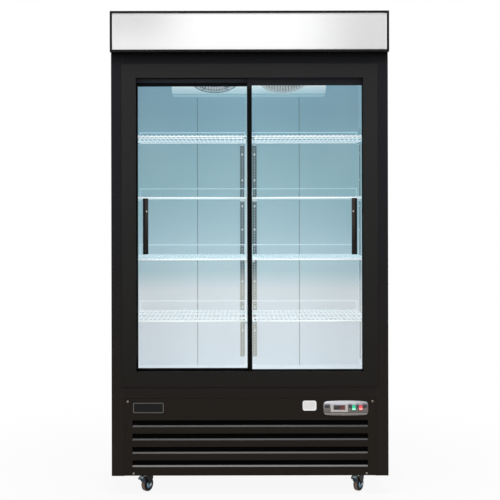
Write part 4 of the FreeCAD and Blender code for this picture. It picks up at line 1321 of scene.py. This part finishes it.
@dataclass
class SlidingDoor:
    """One door: grooved sash members, rubber gaskets, two panes with their spacer, and the pull on the glass."""

    side: Side
    stile: float = 0.0168
    glass_bottom: float = 0.543
    glass_top: float = 1.784
    bite: float = 0.008
    side_bite: float = 0.0068
    glass: float = 0.014
    play: float = 0.0002
    pane: float = 0.004
    cavity: float = 0.014
    cavity_height: float = 0.033
    soft: float = 0.0016
    pin: float = 0.003
    pin_inset: float = 0.001
    gasket: float = 0.0006
    gasket_depth: float = 0.0035
    bead: float = 0.0028
    pull_plate: float = 0.003
    pull_grip: float = 0.009
    pull_roll: Span = (0.002, 0.0025)
    pull_soft: float = 0.0012
    pull_screw: float = 0.0038
    pull_screw_height: float = 0.0016
    pull_screw_end: float = 0.058

    @property
    def body(self) -> str:
        """The body that the door moves as."""
        return self.side.word + "_door"

    @property
    def coat(self) -> str:
        """The sash's finish: the front door's top rail has the brighter painted light."""
        return "door_black" if self.side is Side.LEFT else "front_door_lit_top_rail"

    def sash(self) -> None:
        """Two grooved stiles between which two grooved rails run, and the rollers' pins."""
        low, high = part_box(self.body + "_frame")
        mid = (low.y + high.y) / 2
        slot = self.glass / 2 + self.play
        front, back = mid - slot, mid + slot
        form = Form()
        for edge, sign in ((low.x, 1), (high.x, -1)):
            inner = edge + sign * self.stile
            groove = inner - sign * (self.side_bite + self.play)
            plan = [(edge, low.y), (inner, low.y), (inner, front), (groove, front), (groove, back), (inner, back),
                    (inner, high.y), (edge, high.y)]
            stile = Form.drawn([(x, y, low.z) for x, y in plan], (0, 0, high.z - low.z))
            ends = Vector((edge, low.y, 0)), Vector((inner, high.y, 0))
            form.add(stile.bevel(self.soft, 3, corner_edges(*ends, 2)))
        x0, x1 = low.x + self.stile, high.x - self.stile
        deep = self.bite + self.play
        roof, floor = self.glass_top, self.glass_bottom
        half, cavity = self.cavity / 2, low.z + self.cavity_height
        top = [(low.y, high.z), (high.y, high.z), (high.y, roof), (back, roof), (back, roof + deep),
               (front, roof + deep), (front, roof), (low.y, roof)]
        bottom = [(low.y, low.z), (mid - half, low.z), (mid - half, cavity), (mid + half, cavity), (mid + half, low.z),
                  (high.y, low.z), (high.y, floor), (back, floor), (back, floor - deep), (front, floor - deep),
                  (front, floor), (low.y, floor)]
        for section, z0, z1 in ((top, roof, high.z), (bottom, low.z, floor)):
            rail = Form.drawn([(x0, y, z) for y, z in section], (x1 - x0, 0, 0))
            ends = Vector((0, low.y, z0)), Vector((0, high.y, z1))
            form.add(rail.bevel(self.soft, 3, corner_edges(*ends, 0)))
        for which in ("outer", "inner"):
            a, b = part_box(f"{self.body}_{which}_roller")
            spot = (a + b) / 2
            form.add(Form.rod((spot.x, low.y + self.pin_inset, spot.z), (spot.x, high.y - self.pin_inset, spot.z),
                              self.pin, 16, FINE))
        form.piece(self.body + "_sash", self.body, [self.coat], [self.body + "_frame"], "door_black")

    def glazing(self) -> None:
        """Two panes, the metal spacer between their edges, and gasket strips round both faces."""
        low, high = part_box(self.body + "_glass")
        panes = Form()
        for y in (low.y, high.y - self.pane):
            panes.add(Form.block((low.x, y, low.z), (high.x, y + self.pane, high.z), RIM, 1))
        panes.piece(self.body + "_panes", self.body, ["door_glass"], [self.body + "_glass"])
        spacer = self.border(low.x, high.x, low.z, high.z, self.side_bite, low.y + self.pane, high.y - self.pane)
        spacer.piece(self.body + "_spacer", self.body, ["spacer_metal"], slot="door_glass")
        x0, x1, z0, z1 = low.x + self.side_bite, high.x - self.side_bite, low.z + self.bite, high.z - self.bite
        strips = self.border(x0, x1, z0, z1, self.gasket, low.y - self.gasket_depth, low.y)
        strips.add(self.border(x0, x1, z0, z1, self.gasket, high.y, high.y + self.gasket_depth))
        meeting = x0 if self.side is Side.RIGHT else x1
        strips.add(Form.block((meeting, low.y - self.gasket_depth, z0),
                              (meeting + self.side.value * self.bead, low.y, z1), RIM))
        strips.piece(self.body + "_gaskets", self.body, ["seal_black"])

    @staticmethod
    def border(x0: float, x1: float, z0: float, z1: float, width: float, y0: float, y1: float) -> Form:
        """Four soft-edged bars round a rectangle, inside it.

        Args:
            x0, x1, z0, z1: the rectangle.
            width: of the bars, inwards.
            y0, y1: their front and back.

        Returns:
            The bars.
        """
        form = Form()
        soft = min(width, y1 - y0) * 0.3
        for a, b in ((x0, x0 + width), (x1 - width, x1)):
            form.add(Form.block((a, y0, z0), (b, y1, z1), soft))
        for a, b in ((z0, z0 + width), (z1 - width, z1)):
            form.add(Form.block((x0 + width, y0, a), (x1 - width, y1, b), soft))
        return form

    def pull(self) -> None:
        """The pull: an angle with a rolled grip on its outer edge, and two screws in its flange."""
        low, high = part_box(self.body + "_handle")
        sign, face = self.side.value, high.y
        inner, outer = (low.x, high.x) if self.side is Side.RIGHT else (high.x, low.x)
        step, flange = outer - sign * self.pull_grip, face - self.pull_plate
        across, deep = self.pull_roll
        plan = [(inner, face), (outer, face), (outer, low.y), (step + sign * across, low.y), (step, low.y + deep),
                (step, flange), (inner, flange)]
        form = Form.drawn([(x, y, low.z) for x, y in plan], (0, 0, high.z - low.z))
        form.bevel(self.pull_soft, 3, lambda edge: middle(edge).y < face - NEAR)
        # The flange takes painted light.
        form.paint(lambda f: sign * (centre(f).x - step) < 0)
        form.piece(self.body + "_pull", self.body, ["handle_black", "handle_flange_painted_light"], [self.body + "_handle"])
        seats = [((inner + step) / 2, flange, z) for z in (low.z + self.pull_screw_end, high.z - self.pull_screw_end)]
        screws = Form.screws(seats, FORWARD, self.pull_screw, self.pull_screw_height)
        # The lower screw head takes the handle's black.
        screws.paint(lambda f: centre(f).z < (low.z + high.z) / 2)
        screws.piece(self.body + "_pull_screws", self.body, ["screw_steel", "handle_black"])

    def build(self) -> None:
        """Makes the door."""
        self.sash()
        self.glazing()
        self.pull()


@dataclass
class ShelfStrips:
    """Screws that hold the slotted shelf strips to the liner's back and side sheets."""

    sheet: float = 0.003
    offset: float = 0.030
    side_spots: Span = (-0.145, 0.225)
    bottom: float = 0.520
    pitch: float = 0.0127
    lands: tuple[int, ...] = (10, 19, 29, 49, 58, 68, 78)
    radius: float = 0.0048
    height: float = 0.0022

    def build(self) -> None:
        """Makes the heads, each on the land between two slots and clear of the shelves."""
        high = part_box("shelf_supports")[1]
        back, wall = high.y - self.sheet, high.x - self.sheet
        form = Form()
        for land in self.lands:
            z = self.bottom + land * self.pitch
            for sign in SIGNS:
                form.add(Form.screw((sign * self.offset, back, z), FORWARD, self.radius, self.height))
                form.add(Form.screws([(sign * wall, y, z) for y in self.side_spots], (-sign, 0, 0), self.radius,
                                     self.height))
        form.piece("strip_screws", CABINET, ["strip_screw"], slot="zinc_strip")


@dataclass(frozen=True)
class BarePlate:
    """A plate without lettering: how far it stays inside its solid, its corners, and its sunk field or bright rim."""

    name: str
    finishes: tuple[str, str]
    trim: float
    corner: float
    rim: float
    sink: float
    bright_rim: bool

    def build(self) -> None:
        """Makes the plate."""
        low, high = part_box(self.name)
        edge = Vector((self.trim, 0.0, self.trim))
        plate = rounded_plate(low + edge, high - edge, self.corner, RIM)
        plate.inset(self.rim, self.sink, to_front(0.001))
        field = max(plate.picked(to_front(0.0)), key=lambda f: f.calc_area())
        if self.bright_rim:
            plate.paint(lambda f: f != field and centre(f).y < high.y - 0.0005)
        else:
            plate.paint(lambda f: f == field)
        plate.piece(self.name + "_bare", CABINET, self.finishes, [self.name])


@dataclass
class LowerPanel:
    """Louvred front panel pressed from one sheet, the dust filter behind it, its screws and its two bare plates."""

    louvres: int = 4
    half: float = 0.510
    first_top: float = 0.3286
    pitch: float = 0.0577
    gap: float = 0.0224
    lip: float = 0.0072
    mouth: float = 0.00576
    flange: float = 0.012
    sheet: float = 0.0012
    bend: float = 0.0014
    inside: Point = (0, 0, 0.2)
    filter_edge: float = 0.012
    filter_front: float = 0.0014
    filter_back: float = 0.0006
    screw: float = 0.005
    screw_height: float = 0.0024
    screw_spots: tuple[Span, ...] = ((0.530, 0.410), (0.505, 0.098))
    plates: tuple[BarePlate, ...] = (
        BarePlate("info_plate", ("plate_white", "plate_inset"), 0.0018, 0.009, 0.006, -0.0005, False),
        BarePlate("badge_plate", ("plate_dark", "badge_rim"), 0.0008, 0.006, 0.0028, -0.0006, True))

    def panel(self) -> None:
        """The sheet: sliced where the louvres are, opened, and folded along every edge."""
        low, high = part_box("front_grille")
        face = low.y
        tops = [self.first_top - i * self.pitch for i in range(self.louvres)]
        rows = [(top - self.gap - self.lip, top) for top in tops]
        form = Form.path([(low.x, face, low.z), (high.x, face, low.z)])
        form.fold((0, 0, high.z - low.z))
        for row in rows:
            form.cut(2, *row)
        form.cut(0, -self.half, self.half)
        form.drop(lambda f: abs(centre(f).x) < self.half and any(a < centre(f).z < b for a, b in rows))

        def is_sill(edge: Edge) -> bool:
            """True for the lower edge of a louvre.

            Args:
                edge: an edge of the sheet.

            Returns:
                Whether it is one.
            """
            spot = middle(edge)
            return (at_depth(edge, face) and runs(edge, 0) and abs(spot.x) < self.half
                    and any(same(spot.z, a) for a, _ in rows))

        def is_mouth(edge: Edge) -> bool:
            """True for the other edges of a louvre.

            Args:
                edge: an edge of the sheet.

            Returns:
                Whether it is one.
            """
            spot = middle(edge)
            return (at_depth(edge, face) and abs(spot.x) < self.half + NEAR
                    and any(a + NEAR < spot.z < b + NEAR for a, b in rows))

        def is_lip(face: Face) -> bool:
            """True for a face of the lips below the louvres, which lean at 45 degrees."""
            return abs(face.normal.y + face.normal.z) < 0.2 and abs(face.normal.y) > 0.6

        form.fold((0, self.lip, self.lip), is_sill)
        form.fold((0, self.mouth, 0), is_mouth)
        form.fold((0, self.flange, 0), lambda e: at_depth(e, face) and not is_sill(e) and not is_mouth(e))
        form.bevel(self.bend, 2, lambda e: at_depth(e, face) and len(e.link_faces) == 2 and e.calc_face_angle() > BENT)
        form.wall(self.sheet, self.inside)
        # The lips take painted light.
        form.paint(is_lip)
        form.piece("louvred_panel", CABINET, ["grille_black", "louvre_lip_painted_light"], ["front_grille"])

    def filter(self) -> None:
        """The dust filter that hangs behind the louvres, between the panel's folded edges; its near black is painted
        shade for the machine space.
        """
        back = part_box("front_grille")[0].y + self.flange
        across = self.half + self.filter_edge
        pad = Form.block((-across, back - self.filter_front, self.first_top - self.louvres * self.pitch),
                         (across, back + self.filter_back, self.first_top + self.filter_edge), RIM, 1)
        pad.piece("dust_filter", CABINET, ["filter_mesh"], slot="grille_black")

    def screws(self) -> None:
        """Four screws at the panel's corners."""
        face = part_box("front_grille")[0].y
        seats = [(sign * x, face, z) for x, z in self.screw_spots for sign in SIGNS]
        form = Form.screws(seats, FORWARD, self.screw, self.screw_height)
        form.piece("panel_screw_heads", CABINET, ["panel_screw"], ["panel_screws"], "screw_steel")

    def build(self) -> None:
        """Makes the panel, its filter, screws and plates."""
        self.panel()
        self.filter()
        self.screws()
        for plate in self.plates:
            plate.build()


@dataclass
class ControlPod:
    """Silver bezel bowed above and below, its display with a pale frame and lit digits, and two rockers."""

    end_height: float = 0.058
    bow_steps: int = 10
    corner: float = 0.015
    rise: float = 0.0055
    crown: float = 0.0035
    crown_width: float = 0.009
    round_rim: float = 0.003
    well: float = 0.007
    wells: tuple[tuple[str, float], ...] = (("control_display", 0.0003), ("green_rocker", 0.0004),
                                            ("red_rocker", 0.0004))
    frame_left: float = 0.3490
    frame_right: float = 0.4225
    frame_bottom: float = 0.3655
    frame_top: float = 0.4005
    frame_depth: Span = (-0.0012, 0.004)
    frame_soft: float = 0.0008
    window_rim: float = 0.0022
    window_sink: float = -0.0006
    digits: tuple[tuple[float, str], ...] = ((0.3945, "acdfg"), (0.4040, "abcdeg"))
    digit_width: float = 0.0072
    digit_height: float = 0.0125
    digit_depth: Span = (-0.0002, 0.0006)
    stroke: float = 0.0017
    tilt: float = -7.0
    lens: float = 0.0078
    pin_y: float = -0.3245
    rocker_front: float = 0.0060
    rocker_back: float = 0.0030
    rocker_reach: float = 0.0106
    rocker_soft: float = 0.0010

    def bezel(self) -> None:
        """Two bowed edges spun from single points, joined, drawn out, crowned and opened."""
        low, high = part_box("control_bezel")
        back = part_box("front_grille")[0].y
        cx, cz = (low.x + high.x) / 2, (low.z + high.z) / 2
        half, end, top = (high.x - low.x) / 2, self.end_height / 2, (high.z - low.z) / 2
        radius = (half ** 2 + (top - end) ** 2) / (2 * (top - end))
        angle = 2 * math.asin(half / radius)
        form = Form()
        for sign in (1, -1):
            start = form.bm.verts.new((cx - half, back, cz + sign * end))
            bmesh.ops.spin(form.bm, geom=[start], cent=(cx, back, cz + sign * (top - radius)), axis=(0, sign, 0),
                           angle=angle, steps=self.bow_steps)
        for x in (cx - half, cx + half):
            form.bm.edges.new([vert for vert in form.bm.verts if abs(vert.co.x - x) < 10 * NEAR])
        bmesh.ops.contextual_create(form.bm, geom=form.bm.edges[:])
        form.pull(bmesh.ops.extrude_face_region(form.bm, geom=form.bm.faces[:]), (0, -self.rise, 0))
        form.outward()
        form.bevel(self.corner, 6, lambda edge: runs(edge, 1) and abs(abs(middle(edge).x - cx) - half) < 10 * NEAR)
        front = back - self.rise
        form.inset(self.crown_width, self.crown, to_front(0.004))
        form.bevel(self.round_rim, 3, lambda edge: at_depth(edge, front))
        wells = []
        for node, grow in self.wells:
            a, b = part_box(node)
            wells.append((a.x - grow, b.x + grow, a.z - grow, b.z + grow))
            form.cut(0, *wells[-1][:2]).cut(2, *wells[-1][2:])

        def in_well(face: Face) -> bool:
            """True for a face of the front over a well."""
            spot = centre(face)
            return face.normal.y < -0.9 and any(a < spot.x < b and c < spot.z < d for a, b, c, d in wells)

        form.drop(in_well)
        form.fold((0, self.well, 0), lambda edge: middle(edge).y < front)
        form.piece("silver_bezel", CABINET, ["bezel_silver"], ["control_bezel"])

    def display(self) -> None:
        """Pale frame, smoked window, and two lit digits made of bars."""
        low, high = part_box("control_display")
        y0, y1 = (low.y + depth for depth in self.frame_depth)
        pale = Form()
        for x0, x1, z1 in ((self.frame_left, low.x, self.frame_top), (high.x, self.frame_right, self.frame_top),
                           (low.x, high.x, low.z)):
            pale.add(Form.block((x0, y0, self.frame_bottom), (x1, y1, z1), self.frame_soft))
        pale.piece("display_frame", CABINET, ["display_frame"], slot="bezel_silver")
        window = rounded_plate(low, high, self.frame_soft, SOFT)
        window.inset(self.window_rim, self.window_sink, to_front(0.0005))
        window.piece("display_window", CABINET, ["display_black"], ["control_display"])
        digits = Form()
        for x, bars in self.digits:
            digits.add(self.digit(x, (low.z + high.z) / 2, low.y, bars))
        digits.piece("display_digits", CABINET, ["lit_digits"], slot="display_black")

    def digit(self, x: float, z: float, face: float, bars: str) -> Form:
        """One seven-bar digit.

        Args:
            x, z: its middle.
            face: the front of the window that it stands in.
            bars: the letters of the bars that are lit, a to g.

        Returns:
            The lit bars.
        """
        w, h, s = self.digit_width / 2, self.digit_height / 2, self.stroke / 2
        y0, y1 = (face + depth for depth in self.digit_depth)
        spots = {"a": (0, h), "g": (0, 0), "d": (0, -h), "b": (w, h / 2), "c": (w, -h / 2), "e": (-w, -h / 2),
                 "f": (-w, h / 2)}
        form = Form()
        for bar in bars:
            u, v = spots[bar]
            a, b = (w - s * 1.2, s) if bar in "agd" else (s, h / 2 - s * 1.2)
            form.add(Form.block((x + u - a, y0, z + v - b), (x + u + a, y1, z + v + b), HAIR, 1))
        return form

    def rocker(self, word: str) -> None:
        """One rocker with a dished face, a lens between two dark cheeks, tipped on its pin with its top pressed in.

        Args:
            word: green or red.
        """
        low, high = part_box(word + "_rocker")
        cx, cz = (low.x + high.x) / 2, (low.z + high.z) / 2
        front, back, reach = self.rocker_front, self.rocker_back, self.rocker_reach
        section = [(-front + 0.0006, reach), (-front + 0.0014, reach * 0.5), (-front + 0.0018, 0.0),
                   (-front + 0.0010, -reach * 0.5), (-front, -reach), (back, -reach * 0.96), (back, reach * 0.96)]
        form = Form.drawn([(low.x, self.pin_y + y, cz + z) for y, z in section], (high.x - low.x, 0, 0))
        form.bevel(self.rocker_soft, 3, lambda edge: not runs(edge, 0) or abs(middle(edge).z - cz) > reach * 0.9)
        form.cut(0, cx - self.lens, cx + self.lens)
        form.paint(lambda f: abs(centre(f).x - cx) > self.lens)
        form.turn(self.tilt, "X", (0, self.pin_y, cz))
        form.piece(word + "_lens", word + "_rocker", [word + "_lens", "seal_black"], [word + "_rocker"])

    def build(self) -> None:
        """Makes the pod."""
        self.bezel()
        self.display()
        self.rocker("green")
        self.rocker("red")


@dataclass
class Caster:
    """One caster: top plate with a ball race, pressed fork, axle, tyred wheel and, in front, a brake pedal."""

    corner: Corner
    base: float = 0.088
    heading: float = -32.0
    wheel: float = 0.0315
    width: float = 0.024
    tyre: float = 0.0140
    bore: float = 0.00405
    trail: float = 0.024
    plate: Span = (0.033, 0.041)
    plate_corner: float = 0.006
    plate_sheet: float = 0.003
    bolts: Span = (0.026, 0.033)
    bolt: float = 0.0045
    bolt_head: float = 0.0025
    king_pin: float = 0.005
    king_nut: float = 0.009
    nut_height: float = 0.003
    race_height: float = 0.004
    crown_height: float = 0.005
    play: float = 0.0003
    fork_sheet: float = 0.0025
    fork_gap: float = 0.002
    leg_play: float = 0.0004
    leg_corner: float = 0.002
    axle: float = 0.004
    axle_nut: float = 0.007
    pin: float = 0.0025
    pin_y: float = -0.013
    pin_drop: float = 0.009
    pedal_half: float = 0.012
    pedal_corner: float = 0.006
    rim_x: float = -0.006
    toe: float = 0.0135
    tip: float = 0.017

    @property
    def crown_top(self) -> float:
        """The top of the fork's crown."""
        return self.base - self.plate_sheet - self.race_height - self.play

    @property
    def crown_bottom(self) -> float:
        """The bottom of the fork's crown."""
        return self.crown_top - self.crown_height

    def place(self, form: Form, kind: str, node: str, finishes: Sequence[str], slot: str = "") -> None:
        """Turns a form from the caster's own frame to its heading, moves it under its corner and makes it a piece.

        Args:
            form: the form.
            kind: the start of the piece's name.
            node: the start of the name of its body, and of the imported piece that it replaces.
            finishes: of its materials in order.
            slot: the record's slot of a piece that replaces nothing.
        """
        x, y = self.corner.value
        name, body = (f"{start}_{self.corner.word}" for start in (kind, node))
        form.turn(self.heading, "Z").shift((x, y, 0)).piece(name, body, finishes, [] if slot else [body], slot)

    def top(self) -> Form:
        """The bolted plate, the race under it and the king pin with its nut.

        Returns:
            What stays still of the caster.
        """
        x, y = self.corner.value
        dx, dy = self.plate
        under = self.base - self.plate_sheet
        plate = Form.block((x - dx, y - dy, under), (x + dx, y + dy, self.base))
        plate.bevel(self.plate_corner, 4, lambda edge: runs(edge, 2))
        plate.bevel(RIM, 1, lambda edge: not runs(edge, 2))
        race = [(0.0, 0.0), (0.018, 0.0), (0.0235, 0.0012), (0.024, 0.0026), (0.0225, self.race_height),
                (0.0, self.race_height)]
        plate.add(Form.turned(race, (x, y, under - self.race_height), UP))
        head = self.crown_bottom - self.play
        plate.add(Form.rod((x, y, head), (x, y, under), self.king_pin, 20))
        plate.add(Form.rod((x, y, head - self.nut_height), (x, y, head), self.king_nut, 6, RIM))
        for bx in (x - self.bolts[0], x + self.bolts[0]):
            for by in (y - self.bolts[1], y + self.bolts[1]):
                plate.add(Form.rod((bx, by, under - self.bolt_head), (bx, by, under), self.bolt, 6, FINE))
        return plate

    def fork(self) -> None:
        """Crown with a domed skirt, two rounded legs and the axle with its nuts."""
        top, low, deep = self.crown_top, self.crown_bottom, -self.crown_height
        high = top - self.leg_play
        t, r = self.trail, self.wheel
        inner = self.width / 2 + self.fork_gap
        end = inner + self.fork_sheet
        crown = [(0.0051, deep), (0.0230, deep), (0.0258, -0.0036), (0.0258, -0.0012), (0.0240, 0.0), (0.0051, 0.0)]
        form = Form.turned(crown, (0, 0, top), UP)
        outline = [(-0.008, high), (-0.008, low - 0.003), (t - 0.014, r + 0.017), (t - 0.010, r + 0.009),
                   (t - 0.0045, r + 0.002), (t - 0.0035, r - 0.004), (t + 0.0035, r - 0.004), (t + 0.0045, r + 0.002),
                   (t + 0.012, r + 0.009), (t + 0.021, r + 0.022), (t + 0.023, low - 0.006), (t + 0.019, high)]
        for x in (-end, inner):
            leg = Form.drawn([(x, y, z) for y, z in outline], (self.fork_sheet, 0, 0))
            leg.bevel(self.leg_corner, 3, lambda edge: runs(edge, 0) and middle(edge).z < low)
            form.add(leg.bevel(RIM, 2, lambda edge: not runs(edge, 0)))
        form.add(Form.rod((-end - self.axle, t, r), (end + self.axle, t, r), self.axle, 20, RIM))
        for a, b in ((end, end + self.nut_height), (-end - self.nut_height, -end)):
            form.add(Form.rod((a, t, r), (b, t, r), self.axle_nut, 6, RIM))
        # The axle's ends and nuts take a bright painted highlight.
        form.paint(lambda face: abs(centre(face).x) > end + NEAR)
        if self.corner.braked:
            z = low - self.pin_drop
            form.add(Form.rod((-end, self.pin_y, z), (end, self.pin_y, z), self.pin, 16, SOFT))
        self.place(form, "fork", "caster_fork", ["fork_steel", "nut_steel_highlight"])

    def roll(self) -> None:
        """A dished steel hub in a tyre with a rounded tread."""
        w, r = -self.width / 2, self.wheel
        rim = r - self.tyre
        tread = [(rim, w + 0.001), (r - 0.0045, w + 0.0002), (r - 0.0022, w + 0.0014), (r - 0.0008, w + 0.0038),
                 (r, w + 0.0085)]
        hub = [(self.bore, w), (0.0092, w), (0.0102, w + 0.0008), (0.0118, w + 0.0034), (rim - 0.003, w + 0.0042),
               (rim - 0.001, w + 0.0016), (rim, w + 0.0012)]
        tyre, dish = (Form.turned(half + [(radius, -x) for radius, x in reversed(half)], (0, self.trail, r), ACROSS, 48)
                      for half in (tread, hub))
        tyre.paint(lambda face: abs(face.normal.x) > 0.5)
        self.place(tyre, "tyre", "caster_wheel", ["wheel_grey", "tyre_side"])
        self.place(dish, "hub", "caster_wheel", ["hub_steel"], "wheel_grey")

    def pedal(self) -> None:
        """Brake pedal: a bent tongue on its pin, with a shoe that reaches the tread."""
        y, z = self.pin_y, self.crown_bottom - self.pin_drop
        outline = [(-0.018, -0.0062), (-0.0175, -0.0034), (-0.004, 0.005), (0.004, 0.005), (0.005, -0.004),
                   (0.0087, -0.0204), (0.005, -0.0204), (-0.001, -0.005), (-0.008, -0.0045)]
        form = Form.drawn([(-self.pedal_half, y + a, z + b) for a, b in outline], (2 * self.pedal_half, 0, 0))
        form.bevel(self.pedal_corner, 4, lambda edge: not runs(edge, 0) and middle(edge).y < y - self.tip)
        form.bevel(RIM, 2, lambda edge: edge.calc_face_angle(0.0) > 2 * BENT)
        form.cut(0, self.rim_x).cut(1, y - self.toe)
        # Painted light on the pedal's top faces, short of its outer rim.
        form.paint(lambda f: f.normal.z > 0.5 and centre(f).x > self.rim_x and centre(f).y > y - self.toe)
        self.place(form, "pedal", "brake_pedal", ["pedal_black", "pedal_top"])

    def build(self) -> None:
        """Makes what turns. The top plates of all four casters are one piece."""
        self.fork()
        self.roll()
        if self.corner.braked:
            self.pedal()


@dataclass
class RearFittings:
    """Screws of the back sheet and of the machine space's rear cover."""

    screw: float = 0.0048
    height: float = 0.0016
    cover_height: float = 0.0022
    cover_step: float = 0.014
    sheet_edge: float = 0.012
    sheet_rows: tuple[float, ...] = (0.46, 0.86, 1.26, 1.66, 2.05)
    sheet_columns: tuple[float, ...] = (-0.38, -0.13, 0.13, 0.38)
    sheet_ends: Span = (2.065, 0.437)
    cover_columns: tuple[float, ...] = (-0.56, -0.02, 0.02, 0.56)
    cover_rows: Span = (0.108, 0.400)

    def build(self) -> None:
        """Makes the screws, all sunk by the height of the back sheet's, which end flush with it."""
        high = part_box("rear_panels")[1]
        side = high.x - self.sheet_edge
        sheet = [(sign * side, high.y, z) for z in self.sheet_rows for sign in SIGNS]
        sheet += [(x, high.y, z) for x in self.sheet_columns for z in self.sheet_ends]
        cover = [(x, high.y - self.cover_step, z) for x in self.cover_columns for z in self.cover_rows]
        form = Form.screws(sheet, BACKWARD, self.screw, self.height)
        form.add(Form.screws(cover, BACKWARD, self.screw, self.cover_height))
        form.shift((0, -self.height, 0)).piece("rear_screws", CABINET, ["screw_steel"])


@dataclass
class Studio:
    """Pale floor, white surroundings, four soft lamps and the camera."""

    eye: Point = (-0.047, -4.990, 1.248)
    lens: float = 77.63
    shift: Span = (0.02235, -0.084)
    roll: float = 0.002
    sky: float = 0.32
    floor_size: float = 30.0
    floor_colour: Colour = (0.86, 0.86, 0.86)
    shadow: Span = (0.6, 2.4)
    shadow_share: float = 0.09
    lamps: tuple[tuple[str, Point, Point, float, float], ...] = (
        ("overhead", (0.0, -2.6, 5.2), (0.0, -0.4, 1.0), 130.0, 2.5),
        ("key", (-2.8, -3.4, 3.0), (0.0, 0.0, 1.2), 22.0, 2.0),
        ("fill", (3.0, -3.4, 2.4), (0.0, 0.0, 1.0), 16.0, 2.0),
        ("back", (0.5, 4.2, 3.4), (0.0, 0.0, 1.2), 90.0, 2.4))

    def surroundings(self) -> None:
        """Even soft light, white to the camera, to mirrors and through glass."""
        world = bpy.data.worlds.new("studio")
        bpy.context.scene.world = world
        tree = Tree(world)
        strength = self.seen(tree) * (1.0 - self.sky) + self.sky
        tree.close("OutputWorld", tree.node("Background", sockets={"Color": WHITE, "Strength": strength}))

    @staticmethod
    def seen(tree: Tree) -> Value:
        """1 for rays that show a surface as it is, 0 for rays that light one.

        Args:
            tree: of the floor or the world.

        Returns:
            The level.
        """
        camera, glossy, through = (tree.node("LightPath", output=f"Is {kind} Ray")
                                   for kind in ("Camera", "Glossy", "Transmission"))
        return tree.math("MINIMUM", camera + glossy + through, 1.0)

    def floor(self) -> None:
        """A white floor that keeps a faint shadow."""
        form = Form()
        bmesh.ops.create_grid(form.bm, x_segments=1, y_segments=1, size=self.floor_size)
        made = new_object("floor", form.mesh("floor"))
        material = bpy.data.materials.new("floor_white")
        tree = Tree(material)
        matt = tree.node("BsdfDiffuse", sockets={"Color": self.floor_colour})
        white = tree.node("Emission", sockets={"Color": WHITE, "Strength": 1.0})
        away = tree.node("VectorMath", {"operation": "LENGTH"}, {0: tree.place()}, "Value").above(*self.shadow)
        share = self.seen(tree) * (away * self.shadow_share + (1.0 - self.shadow_share))
        tree.close("OutputMaterial", tree.node("MixShader", sockets={0: share, 1: matt, 2: white}))
        made.data.materials.append(material)

    @staticmethod
    def lamp(name: str, at: Point, towards: Point, power: float, size: float) -> None:
        """A square soft lamp.

        Args:
            name: of the lamp.
            at, towards: where it is and where it shines.
            power: in watts.
            size: of its side.
        """
        light = bpy.data.lights.new(name, "AREA")
        light.energy = power
        light.size = size
        made = new_object(name, light)
        made.location = at
        made.rotation_euler = (Vector(towards) - Vector(at)).to_track_quat("-Z", "Y").to_euler()

    def camera(self) -> None:
        """A camera in front of the object, level but for a slight roll, a little left of the middle."""
        data = bpy.data.cameras.new("photograph")
        data.lens = self.lens
        data.shift_x, data.shift_y = self.shift
        made = new_object("photograph", data)
        made.location = self.eye
        made.rotation_euler = (math.pi / 2, self.roll, 0.0)
        bpy.context.scene.camera = made

    def build(self) -> None:
        """Sets the stage."""
        bpy.context.scene.view_settings.view_transform = "Standard"
        self.surroundings()
        self.floor()
        for lamp in self.lamps:
            self.lamp(*lamp)
        self.camera()


def dress_frame() -> None:
    """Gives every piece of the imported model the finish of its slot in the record."""
    for part in frame["record"]["subparts"]:
        node = frame["nodes"][part["node"]]
        material = FINISHES[part["material_slot"]].material()
        if not node.material_slots:
            node.data.materials.append(material)
        for slot in node.material_slots:
            slot.material = material
        log.info("%s keeps its shape in %s", node.name, part["material_slot"])


def main() -> None:
    """Builds the refrigerator's pieces in order and sets the stage."""
    logging.basicConfig(level=logging.INFO, format="%(message)s")
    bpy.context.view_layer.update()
    dress_frame()
    CabinetShell().build()
    Canopy().build()
    OpeningFrame().build()
    for side in Side:
        SlidingDoor(side).build()
    ShelfStrips().build()
    LowerPanel().build()
    ControlPod().build()
    tops = Form()
    for corner in Corner:
        caster = Caster(corner)
        tops.add(caster.top())
        caster.build()
    tops.piece("caster_tops", CABINET, ["zinc_plate"], ["caster_plates"])
    RearFittings().build()
    Studio().build()


if __name__ == "__main__":
    main()
